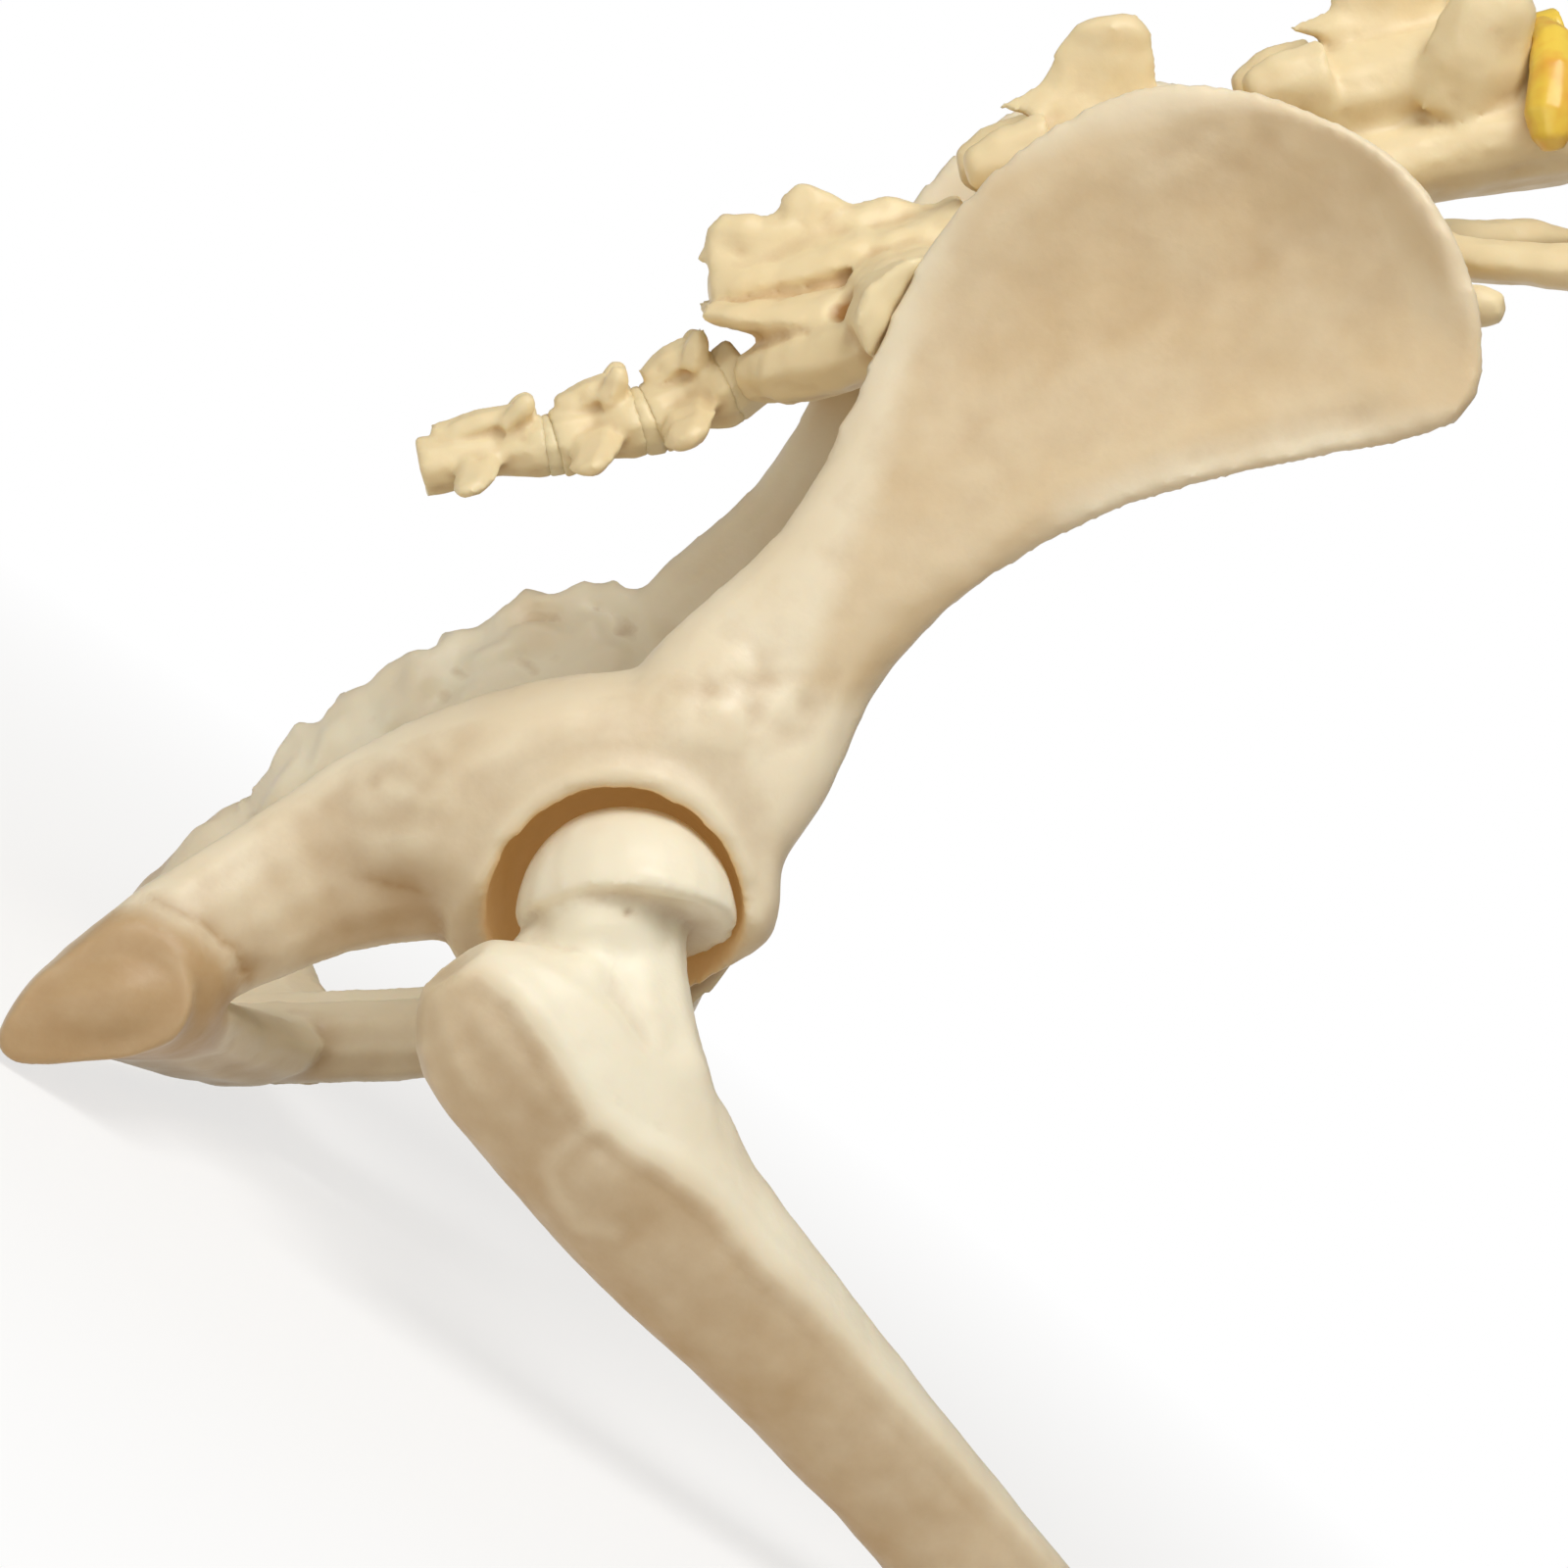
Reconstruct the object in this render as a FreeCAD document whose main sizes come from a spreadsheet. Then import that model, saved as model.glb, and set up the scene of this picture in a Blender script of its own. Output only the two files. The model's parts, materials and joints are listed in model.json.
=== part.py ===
"""Dog hip joint model: a life-size plastic pelvis with sacrum, the last two lumbar vertebrae, three tail
vertebrae and the upper part of the right thigh bone. The left socket is bare and ringed by bony spurs.

The bones are laid out in the dog's own directions, +X to the head, +Y to the left and +Z to the back, with
the middle plane of the body at Y = 0. The whole model then leans back about Y until it sits on the two
ischial tuberosities and the sawn end of the femur. Sizes are in millimetres.
"""
import FreeCAD
import Part
import math
import os

Vector = FreeCAD.Vector

SIZES = {
    # hip joint
    "head_radius": 12.4,
    "joint_gap": 2.2,
    "hip_half_spacing": 38.0,
    "rim_reach": 4.2,
    "cup_outer_radius": 19.4,
    "cup_depth": 22.0,
    "notch_radius": 6.0,
    "rim_slant": 34.0,
    "sill_slant": 56.0,
    # hip bone
    "crest_thickness": 6.0,
    "wing_thickness": 3.4,
    "wing_dish": 5.0,
    "auricular_pad": 4.0,
    "ischium_depth": 15.0,
    "ischium_thickness": 7.0,
    "table_width": 11.0,
    "table_thickness": 4.5,
    "symphysis_height": 5.4,
    "symphysis_thickness": 4.8,
    "pubis_width": 7.0,
    "pubis_thickness": 5.0,
    "spur_radius": 3.0,
    "left_tuber_forwards": 6.0,
    "left_tuber_down": 4.29,
    # femur
    "neck_wide": 9.4,
    "neck_thick": 8.2,
    "neck_clearance": 0.6,
    "cap_skirt": 1.2,
    "saddle_depth": 8.0,
    "saddle_thickness": 5.5,
    "shaft_wide": 11.6,
    "shaft_thin": 9.4,
    "femur_end": 16.0,
    # spine
    "spine_slope": 15.0,
    "disc_thickness": 2.5,
    "disc_share": 0.94,
    "body_wide": 13.0,
    "body_tall": 6.8,
    "length_seven": 31.0,
    "length_six": 34.0,
    "canal_height": 10.0,
    "canal_radius": 3.6,
    "arch_wide": 8.0,
    "arch_tall": 6.6,
    "spine_blade": 7.0,
    "blade_thickness": 2.1,
    "spinous_height_seven": 26.0,
    "spinous_height_six": 29.0,
    "transverse_wide": 5.2,
    "transverse_thick": 2.6,
    "articular_radius": 4.6,
    "cord_clearance": 0.2,
    "nerve_radius": 2.7,
    # sacrum and tail
    "sacral_wing_wide": 10.5,
    "sacral_wing_tall": 7.5,
    "sacral_blade": 4.6,
    "tail_disc_share": 0.9,
    "tail_wide": 5.8,
    "tail_tall": 4.6,
    "tail_process": 3.4,
    # fixing screws
    "screw_radius": 2.0,
    "screw_head_radius": 4.0,
    "screw_head_height": 2.4,
    "screw_bite": 9.0,
    "screw_seat_clearance": 0.2,
}

doc = FreeCAD.newDocument("dog_hip_joint_model")
sheet = doc.addObject("Spreadsheet::Sheet", "Sizes")
for row, (alias, value) in enumerate(SIZES.items(), start=1):
    sheet.set("A%d" % row, alias)
    sheet.set("B%d" % row, str(value))
    sheet.setAlias("B%d" % row, alias)
doc.recompute()


def size(alias):
    return float(sheet.get(alias))


HERE = FreeCAD.Placement()
ACROSS_X = Vector(1, 0, 0)
ACROSS_Y = Vector(0, 1, 0)
ACROSS_Z = Vector(0, 0, 1)

half = size("hip_half_spacing")
head_r = size("head_radius")
socket_r = head_r + size("joint_gap")
rim_y = -half - size("rim_reach")
cup_back_y = rim_y + size("cup_depth")


def lateral(offset):
    """Y of a point on the right side, offset outwards from the middle of the socket."""
    return -half - offset


def skin(name, rings):
    """A closed solid stretched over flat rings of corners, with small flat facets between each two rings."""
    facets = []
    for near, far in zip(rings, rings[1:]):
        for index in range(len(near)):
            following = (index + 1) % len(near)
            facets.append([near[index], near[following], far[following]])
            facets.append([near[index], far[following], far[index]])
    facets.append(rings[0])
    facets.append(rings[-1])
    faces = [Part.Face(Part.makePolygon(corners + corners[:1])) for corners in facets]
    solid = Part.Solid(Part.Shell(faces))
    if solid.Volume < 0:
        solid.reverse()
    piece = doc.addObject("Part::Feature", name)
    piece.Shape = solid
    return piece


def smooth_rows(rows, parts):
    """Rows of numbers with points added between them on a smooth curve through all of them."""
    result = []
    for index in range(len(rows) - 1):
        before = rows[max(index - 1, 0)]
        here, there = rows[index], rows[index + 1]
        after = rows[min(index + 2, len(rows) - 1)]
        for part in range(parts):
            way = part / parts
            result.append(tuple(
                0.5 * (2 * q + (r - p) * way + (2 * p - 5 * q + 4 * r - t) * way ** 2
                       + (3 * q - p - 3 * r + t) * way ** 3)
                for p, q, r, t in zip(before, here, there, after)))
    result.append(tuple(rows[-1]))
    return result


def limb(name, route, wide, thin, across, frame=HERE, sides=12, parts=2, room=0.0):
    """A tapering bar of bone: oval rings square to a route. A row is a point and its shares of both girths.

    Room widens the bar all round, to cut the way that another piece needs.
    """
    rows = smooth_rows([tuple(place) + (wide_share, thin_share) for place, wide_share, thin_share in route], parts)
    points = [Vector(*row[:3]) for row in rows]
    last = len(rows) - 1
    rings = []
    for index, row in enumerate(rows):
        along = points[min(index + 1, last)] - points[max(index - 1, 0)]
        along.normalize()
        major = across - along * across.dot(along)
        major.normalize()
        minor = along.cross(major)
        wide_way = major * (size(wide) * row[3] + room)
        thin_way = minor * (size(thin) * row[4] + room)
        turns = [2 * math.pi * side / sides for side in range(sides)]
        rings.append([frame.multVec(points[index] + wide_way * math.cos(turn) + thin_way * math.sin(turn))
                      for turn in turns])
    return skin(name, rings)


def ball(name, centre, radius, pole=ACROSS_Z, lowest=-1.0, sides=20, bands=10):
    """A faceted ball about a pole, cut off square at a share of its radius below the middle."""
    pole = Vector(pole)
    pole.normalize()
    start = math.asin(max(lowest, -0.99))
    stop = math.asin(0.99)
    side_way = ACROSS_X - pole * pole.x if abs(pole.x) < 0.9 else ACROSS_Y - pole * pole.y
    side_way.normalize()
    other_way = pole.cross(side_way)
    rings = []
    for band in range(bands + 1):
        rise = start + (stop - start) * band / bands
        middle = Vector(*centre) + pole * (radius * math.sin(rise))
        reach = radius * math.cos(rise)
        turns = [2 * math.pi * side / sides for side in range(sides)]
        rings.append([middle + side_way * (reach * math.cos(turn)) + other_way * (reach * math.sin(turn))
                      for turn in turns])
    return skin(name, rings)


def rod(name, start, direction, radius, length, sides=20):
    """A round rod with a fine many-sided section."""
    piece = doc.addObject("Part::Prism", name)
    piece.Polygon = sides
    piece.Placement = FreeCAD.Placement(start, FreeCAD.Rotation(ACROSS_Z, direction))
    piece.setExpression("Circumradius", radius)
    if isinstance(length, str):
        piece.setExpression("Height", length)
    else:
        piece.Height = length
    return piece


def fuse(name, pieces):
    joined = doc.addObject("Part::MultiFuse", name)
    joined.Shapes = pieces
    return joined


def cut(name, base, tool):
    result = doc.addObject("Part::Cut", name)
    result.Base = base
    result.Tool = tool
    return result


def mirrored(name, source):
    copy = doc.addObject("Part::Mirroring", name)
    copy.Source = source
    copy.Base = Vector(0, 0, 0)
    copy.Normal = ACROSS_Y
    return copy


def slab(name, corner, extent):
    block = doc.addObject("Part::Box", name)
    block.Length, block.Width, block.Height = extent
    block.Placement.Base = Vector(*corner)
    return block


# Iliac wing. Each row is a back edge point, a belly edge point, then shares of rim, web and dish. X and Z run
# from the middle of the socket and Y outwards from it.
WING = [
    ((0.0, -5.0, 21.0), (18.0, -4.0, 2.0), 2.20, 4.40, 0.0),
    ((3.5, -7.0, 27.2), (25.0, -4.5, 11.5), 1.80, 4.00, 0.0),
    ((12.5, -8.0, 35.3), (29.5, -5.0, 22.3), 1.40, 3.40, 0.0),
    ((18.5, -9.0, 41.0), (34.8, -4.0, 29.0), 1.20, 2.60, 0.0),
    ((24.0, -10.5, 49.0), (43.0, -1.5, 36.3), 1.00, 1.90, 0.1),
    ((28.3, -11.5, 59.5), (53.0, 1.5, 42.3), 0.92, 1.30, 0.45),
    ((33.8, -11.5, 71.0), (65.0, 4.5, 46.6), 0.92, 1.05, 0.75),
    ((42.0, -9.5, 81.5), (79.5, 8.0, 49.8), 0.95, 0.95, 0.95),
    ((53.0, -7.0, 89.3), (92.5, 12.0, 53.5), 1.00, 0.95, 1.0),
    ((61.5, -4.5, 91.2), (95.6, 11.5, 60.0), 1.00, 1.10, 0.8),
    ((71.0, -1.0, 90.0), (94.4, 10.5, 68.0), 0.95, 1.30, 0.45),
    ((79.5, 3.0, 86.6), (91.4, 9.0, 75.0), 0.80, 1.30, 0.1),
    ((84.3, 5.5, 83.6), (88.3, 7.6, 80.0), 0.45, 0.80, 0.0),
]
WING_STEPS = ((0.09, 1.0, 0.0), (0.34, 0.0, 1.0), (0.66, 0.0, 1.0), (0.91, 1.0, 0.0))
WING_CORNERS = 14


def wing_slice(row):
    """One slice of the wing: a thin strip with a thick rim at both edges, dished on its outer face."""
    start = Vector(row[0], lateral(row[1]), row[2])
    end = Vector(row[3], lateral(row[4]), row[5])
    chord = end - start
    width = chord.Length
    chord.normalize()
    outwards = Vector(0, -1, 0) + chord * chord.y
    outwards.normalize()
    rim = size("crest_thickness") * row[6]
    web = size("wing_thickness") * row[7]
    dish = size("wing_dish") * row[8]

    def edge(side):
        line = []
        for step, rim_part, web_part in WING_STEPS:
            sag = -dish * 4 * step * (1 - step)
            thick = rim * rim_part + web * web_part
            line.append(Vector(width * step, sag + side * thick / 2, 0))
        return line

    tip = width * 0.03
    outline = [Vector(-tip, 0, 0)] + edge(1) + [Vector(width + tip, 0, 0)] + list(reversed(edge(-1)))
    curve = Part.BSplineCurve()
    curve.buildFromPoles(outline, True, 3)
    first, last = curve.FirstParameter, curve.LastParameter
    corners = [curve.value(first + (last - first) * corner / WING_CORNERS) for corner in range(WING_CORNERS)]
    return [start + chord * corner.x + outwards * corner.y for corner in corners]


def drawn_in(rows, forwards, down):
    """Rows of a bone bar with its rear end carried forwards and down, more so towards the tuber."""
    result = []
    for (x, y, z), wide, thin in rows:
        share = min(max((-28 - x) / 27, 0), 1)
        result.append(((x + forwards * share, y, z + down * share), wide, thin))
    return result


# The femoral head stands a little below and ahead of the middle of the socket, and its cap is tipped inwards.
head_x = 1.3
head_y = lateral(2.0)
head_z = -1.2
head_centre = Vector(head_x, head_y, head_z)
cap_pole = Vector(0.03, 0.52, 0.86)


def neck_bar(name, room=0.0):
    """The femur's neck, or with room the way that it needs past the socket's lower edge."""
    return limb(name, [
        ((head_x - 1.6, head_y, head_z), 0.92, 0.80),
        ((-1.5, lateral(4.5), -6), 1.02, 0.92),
        ((-1.5, lateral(8), -12), 1.10, 0.98),
        ((-1.0, lateral(10), -19), 1.30, 1.00),
        ((2.0, lateral(10.5), -27), 1.20, 0.95),
    ], "neck_wide", "neck_thick", ACROSS_X, parts=1, room=room)


def hip_bone(side, forwards, down):
    """Hip bone of the right side: wing, cup, ischium with its tuber, table, symphysis bar and pubis round the foramen."""
    rows = smooth_rows([back + belly + (rim, web, dish) for back, belly, rim, web, dish in WING], 2)
    wing = skin(side + "_wing", [wing_slice(row) for row in rows])
    cup = limb(side + "_cup", [
        ((-1, cup_back_y, 1), 0.50, 0.50),
        ((-1, cup_back_y - 5, 1.5), 0.82, 0.82),
        ((-0.5, cup_back_y - 11, 1.5), 1.00, 1.00),
        ((0, rim_y + 4, 0.5), 0.98, 0.98),
        ((0, rim_y, 0), 0.82, 0.82),
    ], "cup_outer_radius", "cup_outer_radius", ACROSS_X, sides=20, parts=1)
    ischium = limb(side + "_ischium", drawn_in([
        ((12, lateral(-6), 9), 0.90, 1.20),
        ((2, lateral(-6.5), 9.5), 1.08, 1.40),
        ((-8, lateral(-6), 9), 1.02, 1.40),
        ((-16, lateral(-6), 8), 0.92, 1.20),
        ((-24, lateral(-6), 6.2), 0.80, 0.92),
        ((-33, lateral(-5), 2.8), 0.66, 0.70),
        ((-42, lateral(-2), -1.2), 0.58, 0.74),
        ((-50, lateral(2), -4.8), 0.53, 0.84),
        ((-58, lateral(5.5), -9), 0.42, 0.90),
        ((-64, lateral(7.5), -12.2), 0.28, 0.62),
        ((-67.5, lateral(8.5), -14), 0.10, 0.20),
    ], forwards, down), "ischium_depth", "ischium_thickness", ACROSS_Z)
    tuber = limb(side + "_tuber", drawn_in([
        ((-66.5, lateral(8), -12.8), 0.14, 0.30),
        ((-62, lateral(7.5), -10.6), 0.36, 0.80),
        ((-55, lateral(6.5), -9.0), 0.44, 1.10),
        ((-50, lateral(5), -8.2), 0.40, 1.05),
        ((-47.5, lateral(4), -7.8), 0.22, 0.60),
    ], forwards, down), "ischium_depth", "ischium_thickness", ACROSS_Z, sides=10, parts=1)
    table = limb(side + "_table", drawn_in([
        ((-57.5, lateral(8), -9.5), 0.70, 1.00),
        ((-54.2, lateral(0), -11.5), 0.96, 1.10),
        ((-51.4, lateral(-10), -15.2), 0.91, 1.00),
        ((-48.1, lateral(-20), -18.8), 0.87, 1.00),
        ((-43, lateral(-30), -21.8), 0.87, 1.05),
        ((-40.7, 2.0, -22.2), 0.88, 1.10),
    ], forwards, down * 0.6), "table_width", "table_thickness", ACROSS_X, sides=10, parts=1)
    symphysis = limb(side + "_symphysis", [
        ((-50, -3.0, -21.0), 0.72, 0.70),
        ((-40, -3.6, -22.2), 0.95, 0.96),
        ((-25, -3.8, -21.9), 0.93, 0.94),
        ((-10, -3.8, -20.8), 0.94, 0.94),
        ((3, -3.6, -18.4), 1.04, 0.98),
        ((8.5, -3.0, -16.4), 0.60, 0.60),
    ], "symphysis_height", "symphysis_thickness", ACROSS_Z, sides=8, parts=1)
    pubis = limb(side + "_pubis", [
        ((7.5, lateral(-7), -2.5), 1.00, 1.15),
        ((6.5, lateral(-14), -8.0), 0.86, 1.00),
        ((5.5, lateral(-23), -13.2), 0.84, 0.95),
        ((4.0, lateral(-31), -16.6), 0.93, 1.00),
        ((3, 2.0, -18.0), 1.05, 1.0),
    ], "pubis_width", "pubis_thickness", ACROSS_X, sides=8)
    pad = limb(side + "_pad", [
        ((31, lateral(-12), 56), 0.9, 0.45),
        ((37, lateral(-13), 60), 1.8, 0.8),
        ((44, lateral(-12.5), 64), 1.9, 0.85),
        ((51, lateral(-9.5), 67), 1.0, 0.45),
    ], "auricular_pad", "auricular_pad", ACROSS_Z, sides=8, parts=1)
    body = fuse(side + "_body", [wing, cup, ischium, tuber, table, symphysis, pubis, pad])
    socket = ball(side + "_socket", (0, -half, 0), socket_r, sides=20, bands=9)
    notch = rod(side + "_notch", Vector(-1.5, lateral(3), 0), Vector(-0.3, -0.35, -1.0), "Sizes.notch_radius", 26)
    trim = slab(side + "_trim", (-30, rim_y - 0.3, 3), (56, 16, 40))
    trim.Placement.Rotation = FreeCAD.Rotation(ACROSS_X, 180 + size("rim_slant"))
    sill = slab(side + "_sill", (-13.0, -52, -25.5), (14, 24, 50))
    sill.Placement.Rotation = FreeCAD.Rotation(ACROSS_Y, size("sill_slant"))
    room = neck_bar(side + "_neck_room", size("neck_clearance"))
    beyond = slab(side + "_beyond", (-90, 0, -60), (220, 30, 120))
    return cut(side + "_bare", body, fuse(side + "_cuts", [socket, notch, trim, sill, room, beyond]))


# Bony spurs along the back edge of the left hip bone, from above the socket to the tuber: a point on the
# right side's edge and a share of the spur's radius.
SPURS = [
    ((3.0, -6.5, 25.5), 0.85), ((-3.5, -5.5, 25.2), 1.05), ((-10.5, -5.0, 23.0), 0.95), ((-17.0, -5.0, 19.8), 1.10),
    ((-23.5, -5.0, 15.6), 0.90), ((-30.0, -4.5, 12.2), 1.15), ((-36.0, -3.5, 8.0), 1.00), ((-41.5, -1.5, 3.8), 0.85),
]


def right_hip_bone():
    """The right hip bone has the way for the screw that holds the femur."""
    bare = hip_bone("right", 0, 0)
    screw_way = rod("screw_way", Vector(head_x, 0, head_z), Vector(0, -1, 0), "Sizes.screw_radius", half)
    seat = rod("screw_seat", Vector(head_x, cup_back_y, head_z), ACROSS_Y,
               "Sizes.screw_head_radius + Sizes.screw_seat_clearance", "2 * Sizes.screw_head_height")
    return cut("right_hip_solid", bare, fuse("screw_ways", [screw_way, seat]))


def left_hip_bone():
    """The left hip bone is a mirror image with its tuber drawn in, and carries the row of rough spurs."""
    plain = mirrored("left_hip_plain", hip_bone("left", size("left_tuber_forwards"), -size("left_tuber_down")))
    spurs = [ball("spur_%d" % number, (x, half + out, z), size("spur_radius") * share, Vector(0.3, 0.2, 1),
                  sides=8, bands=4) for number, ((x, out, z), share) in enumerate(SPURS, start=1)]
    return fuse("left_hip_solid", [plain] + spurs)


SHAFT = [
    ((-17.6, 13.6, -4.6), 0.42, 0.50),
    ((-15.2, 13.4, -8.0), 0.78, 0.80),
    ((-11.0, 12.8, -13.0), 1.00, 0.96),
    ((-5.6, 12.0, -19.0), 1.03, 1.00),
    ((3.3, 10.5, -30.7), 1.00, 1.00),
    ((12.2, 9.0, -41.1), 0.91, 0.95),
    ((21.3, 7.0, -52.2), 0.82, 0.89),
    ((30.8, 5.0, -63.6), 0.76, 0.84),
    ((40.6, 3.0, -76.3), 0.75, 0.84),
]


def femur():
    """Right femur down to its sawn end: shaft with the great trochanter, neck and a cap-like head."""
    rows = [((x, lateral(out), z), wide, thin) for (x, out, z), wide, thin in SHAFT]
    before = Vector(*rows[-2][0])
    end = Vector(*rows[-1][0])
    away = end - before
    away.normalize()
    end = end + away * size("femur_end")
    rows.append(((end.x, end.y, end.z), 0.76, 0.85))
    shaft = limb("shaft", rows, "shaft_wide", "shaft_thin", ACROSS_X)
    saddle = limb("saddle", [
        ((-16, lateral(12.5), -12.0), 0.70, 0.85),
        ((-11, lateral(12), -14.2), 1.00, 1.00),
        ((-4, lateral(10.5), -14.0), 1.00, 1.00),
        ((2, lateral(9.5), -14.0), 0.80, 0.90),
    ], "saddle_depth", "saddle_thickness", ACROSS_Z, sides=10, parts=1)
    cap = ball("head_cap", tuple(head_centre), head_r, cap_pole, -size("cap_skirt") / head_r, sides=20, bands=8)
    body = fuse("femur_body", [shaft, saddle, neck_bar("neck"), cap])
    bore = rod("femur_bore", Vector(head_x, 0, head_z), Vector(0, -1, 0), "Sizes.screw_radius",
               "Sizes.hip_half_spacing + 2 + Sizes.screw_bite - Sizes.head_radius")
    return cut("femur", body, bore)


SLOPE = math.radians(size("spine_slope"))
spine_way = Vector(math.cos(SLOPE), 0, math.sin(SLOPE))
spine_turn = FreeCAD.Rotation(ACROSS_Y, -size("spine_slope"))
sacrum_face = Vector(44.4, 0, 67.3)
sacrum_end = Vector(16.0, 0, 56.4)
disc_gap = spine_way * size("disc_thickness")
seven_centre = sacrum_face + disc_gap + spine_way * (size("length_seven") / 2)
six_centre = seven_centre + spine_way * (size("length_seven") / 2) + disc_gap + spine_way * (size("length_six") / 2)

# Rows of a vertebra's processes run from the middle of its body: forwards, outwards to the right, upwards.
TRANSVERSE_SIX = [
    ((-9, 6, 0), 1.00, 1.2), ((-8, 16, -5), 1.00, 1.0), ((-3, 25.5, -9.5), 1.00, 1.0),
    ((7, 32.5, -12.8), 1.00, 1.05), ((17, 36.5, -15.4), 0.85, 0.95), ((22, 38, -16.8), 0.40, 0.5)]
TRANSVERSE_SEVEN = [
    ((-1, 6, -1), 1.00, 1.2), ((6, 15, -5), 1.00, 1.0), ((16, 25, -9), 0.85, 0.9),
    ((27, 33, -13.3), 0.62, 0.95), ((32.5, 36.2, -14.9), 0.56, 1.0), ((34.6, 37.2, -15.6), 0.32, 0.6)]


def right_side(rows):
    return [((forward, -out, up), wide, thin) for (forward, out, up), wide, thin in rows]


def vertebra(name, centre, length, transverse, pillar_up, height):
    """A lumbar vertebra: waisted body, arch round the canal, spinous blade, transverse and joint processes."""
    frame = FreeCAD.Placement(centre, spine_turn)
    reach = size(length) / 2
    body = limb(name + "_body", [
        ((-reach, 0, 0), 1.00, 1.00), ((-reach + 3, 0, 0), 0.99, 0.98), ((0, 0, 0.6), 0.86, 0.84),
        ((reach - 3, 0, 0), 0.97, 0.97), ((reach, 0, 0), 0.97, 0.97),
    ], "body_wide", "body_tall", ACROSS_Y, frame, sides=16, parts=1)
    roof = size("canal_height")
    arch = limb(name + "_arch", [
        ((-reach + 3, 0, roof - 0.2), 0.80, 0.85), ((-reach + 6, 0, roof - 0.6), 1.00, 1.00),
        ((reach - 8, 0, roof - 0.8), 1.05, 1.00), ((reach - 3, 0, roof - 1.0), 0.95, 0.88),
    ], "arch_wide", "arch_tall", ACROSS_Y, frame, sides=12, parts=1)
    top = size(height)
    blade = limb(name + "_blade", [
        ((-1.5, 0, roof + 3.5), 1.65, 1.6), ((0.8, 0, roof + 7.5), 1.05, 1.0), ((2.8, 0, top - 4), 0.86, 1.1),
        ((4.0, 0, top - 1.2), 0.66, 1.35), ((4.3, 0, top), 0.34, 0.7),
    ], "spine_blade", "blade_thickness", ACROSS_X, frame, sides=8, parts=1)
    wing = limb(name + "_transverse", right_side(transverse),
                "transverse_wide", "transverse_thick", Vector(0.35, 1, 0), frame, sides=8, parts=1)
    front_joint = limb(name + "_front_joint", right_side([
        ((reach - 12, 6.0, roof - 5), 1.50, 0.9), ((reach - 9, 8.0, roof), 1.45, 0.9),
        ((reach - 5.5, 9.2, pillar_up - 3), 1.15, 0.8), ((reach - 5.0, 9.5, pillar_up), 0.80, 0.5)]),
        "articular_radius", "articular_radius", ACROSS_X, frame, sides=8, parts=1)
    rear_joint = limb(name + "_rear_joint", right_side([
        ((-reach + 8, 5.0, roof + 2.2), 1.2, 0.9), ((-reach + 2, 5.5, roof + 3.0), 0.90, 0.7),
        ((-reach - 1.4, 5.7, roof + 3.2), 0.50, 0.45)]),
        "articular_radius", "articular_radius", ACROSS_Z, frame, sides=8, parts=1)
    right = [wing, front_joint, rear_joint]
    left = [mirrored(piece.Name + "_left", piece) for piece in right]
    whole = fuse(name + "_whole", [body, arch, blade] + right + left)
    canal = rod(name + "_canal", frame.multVec(Vector(-reach - 5, 0, roof)), spine_way,
                "Sizes.canal_radius", "Sizes.%s + 10" % length)
    return cut(name + "_solid", whole, canal)


def disc(name, face):
    """A flat disc between two vertebral bodies, from the face behind it to the face ahead of it."""
    end = face + disc_gap
    share = size("disc_share")
    return limb(name, [(tuple(face), share, share), (tuple(end), share, share)],
                "body_wide", "body_tall", ACROSS_Y, sides=16, parts=1)


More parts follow.
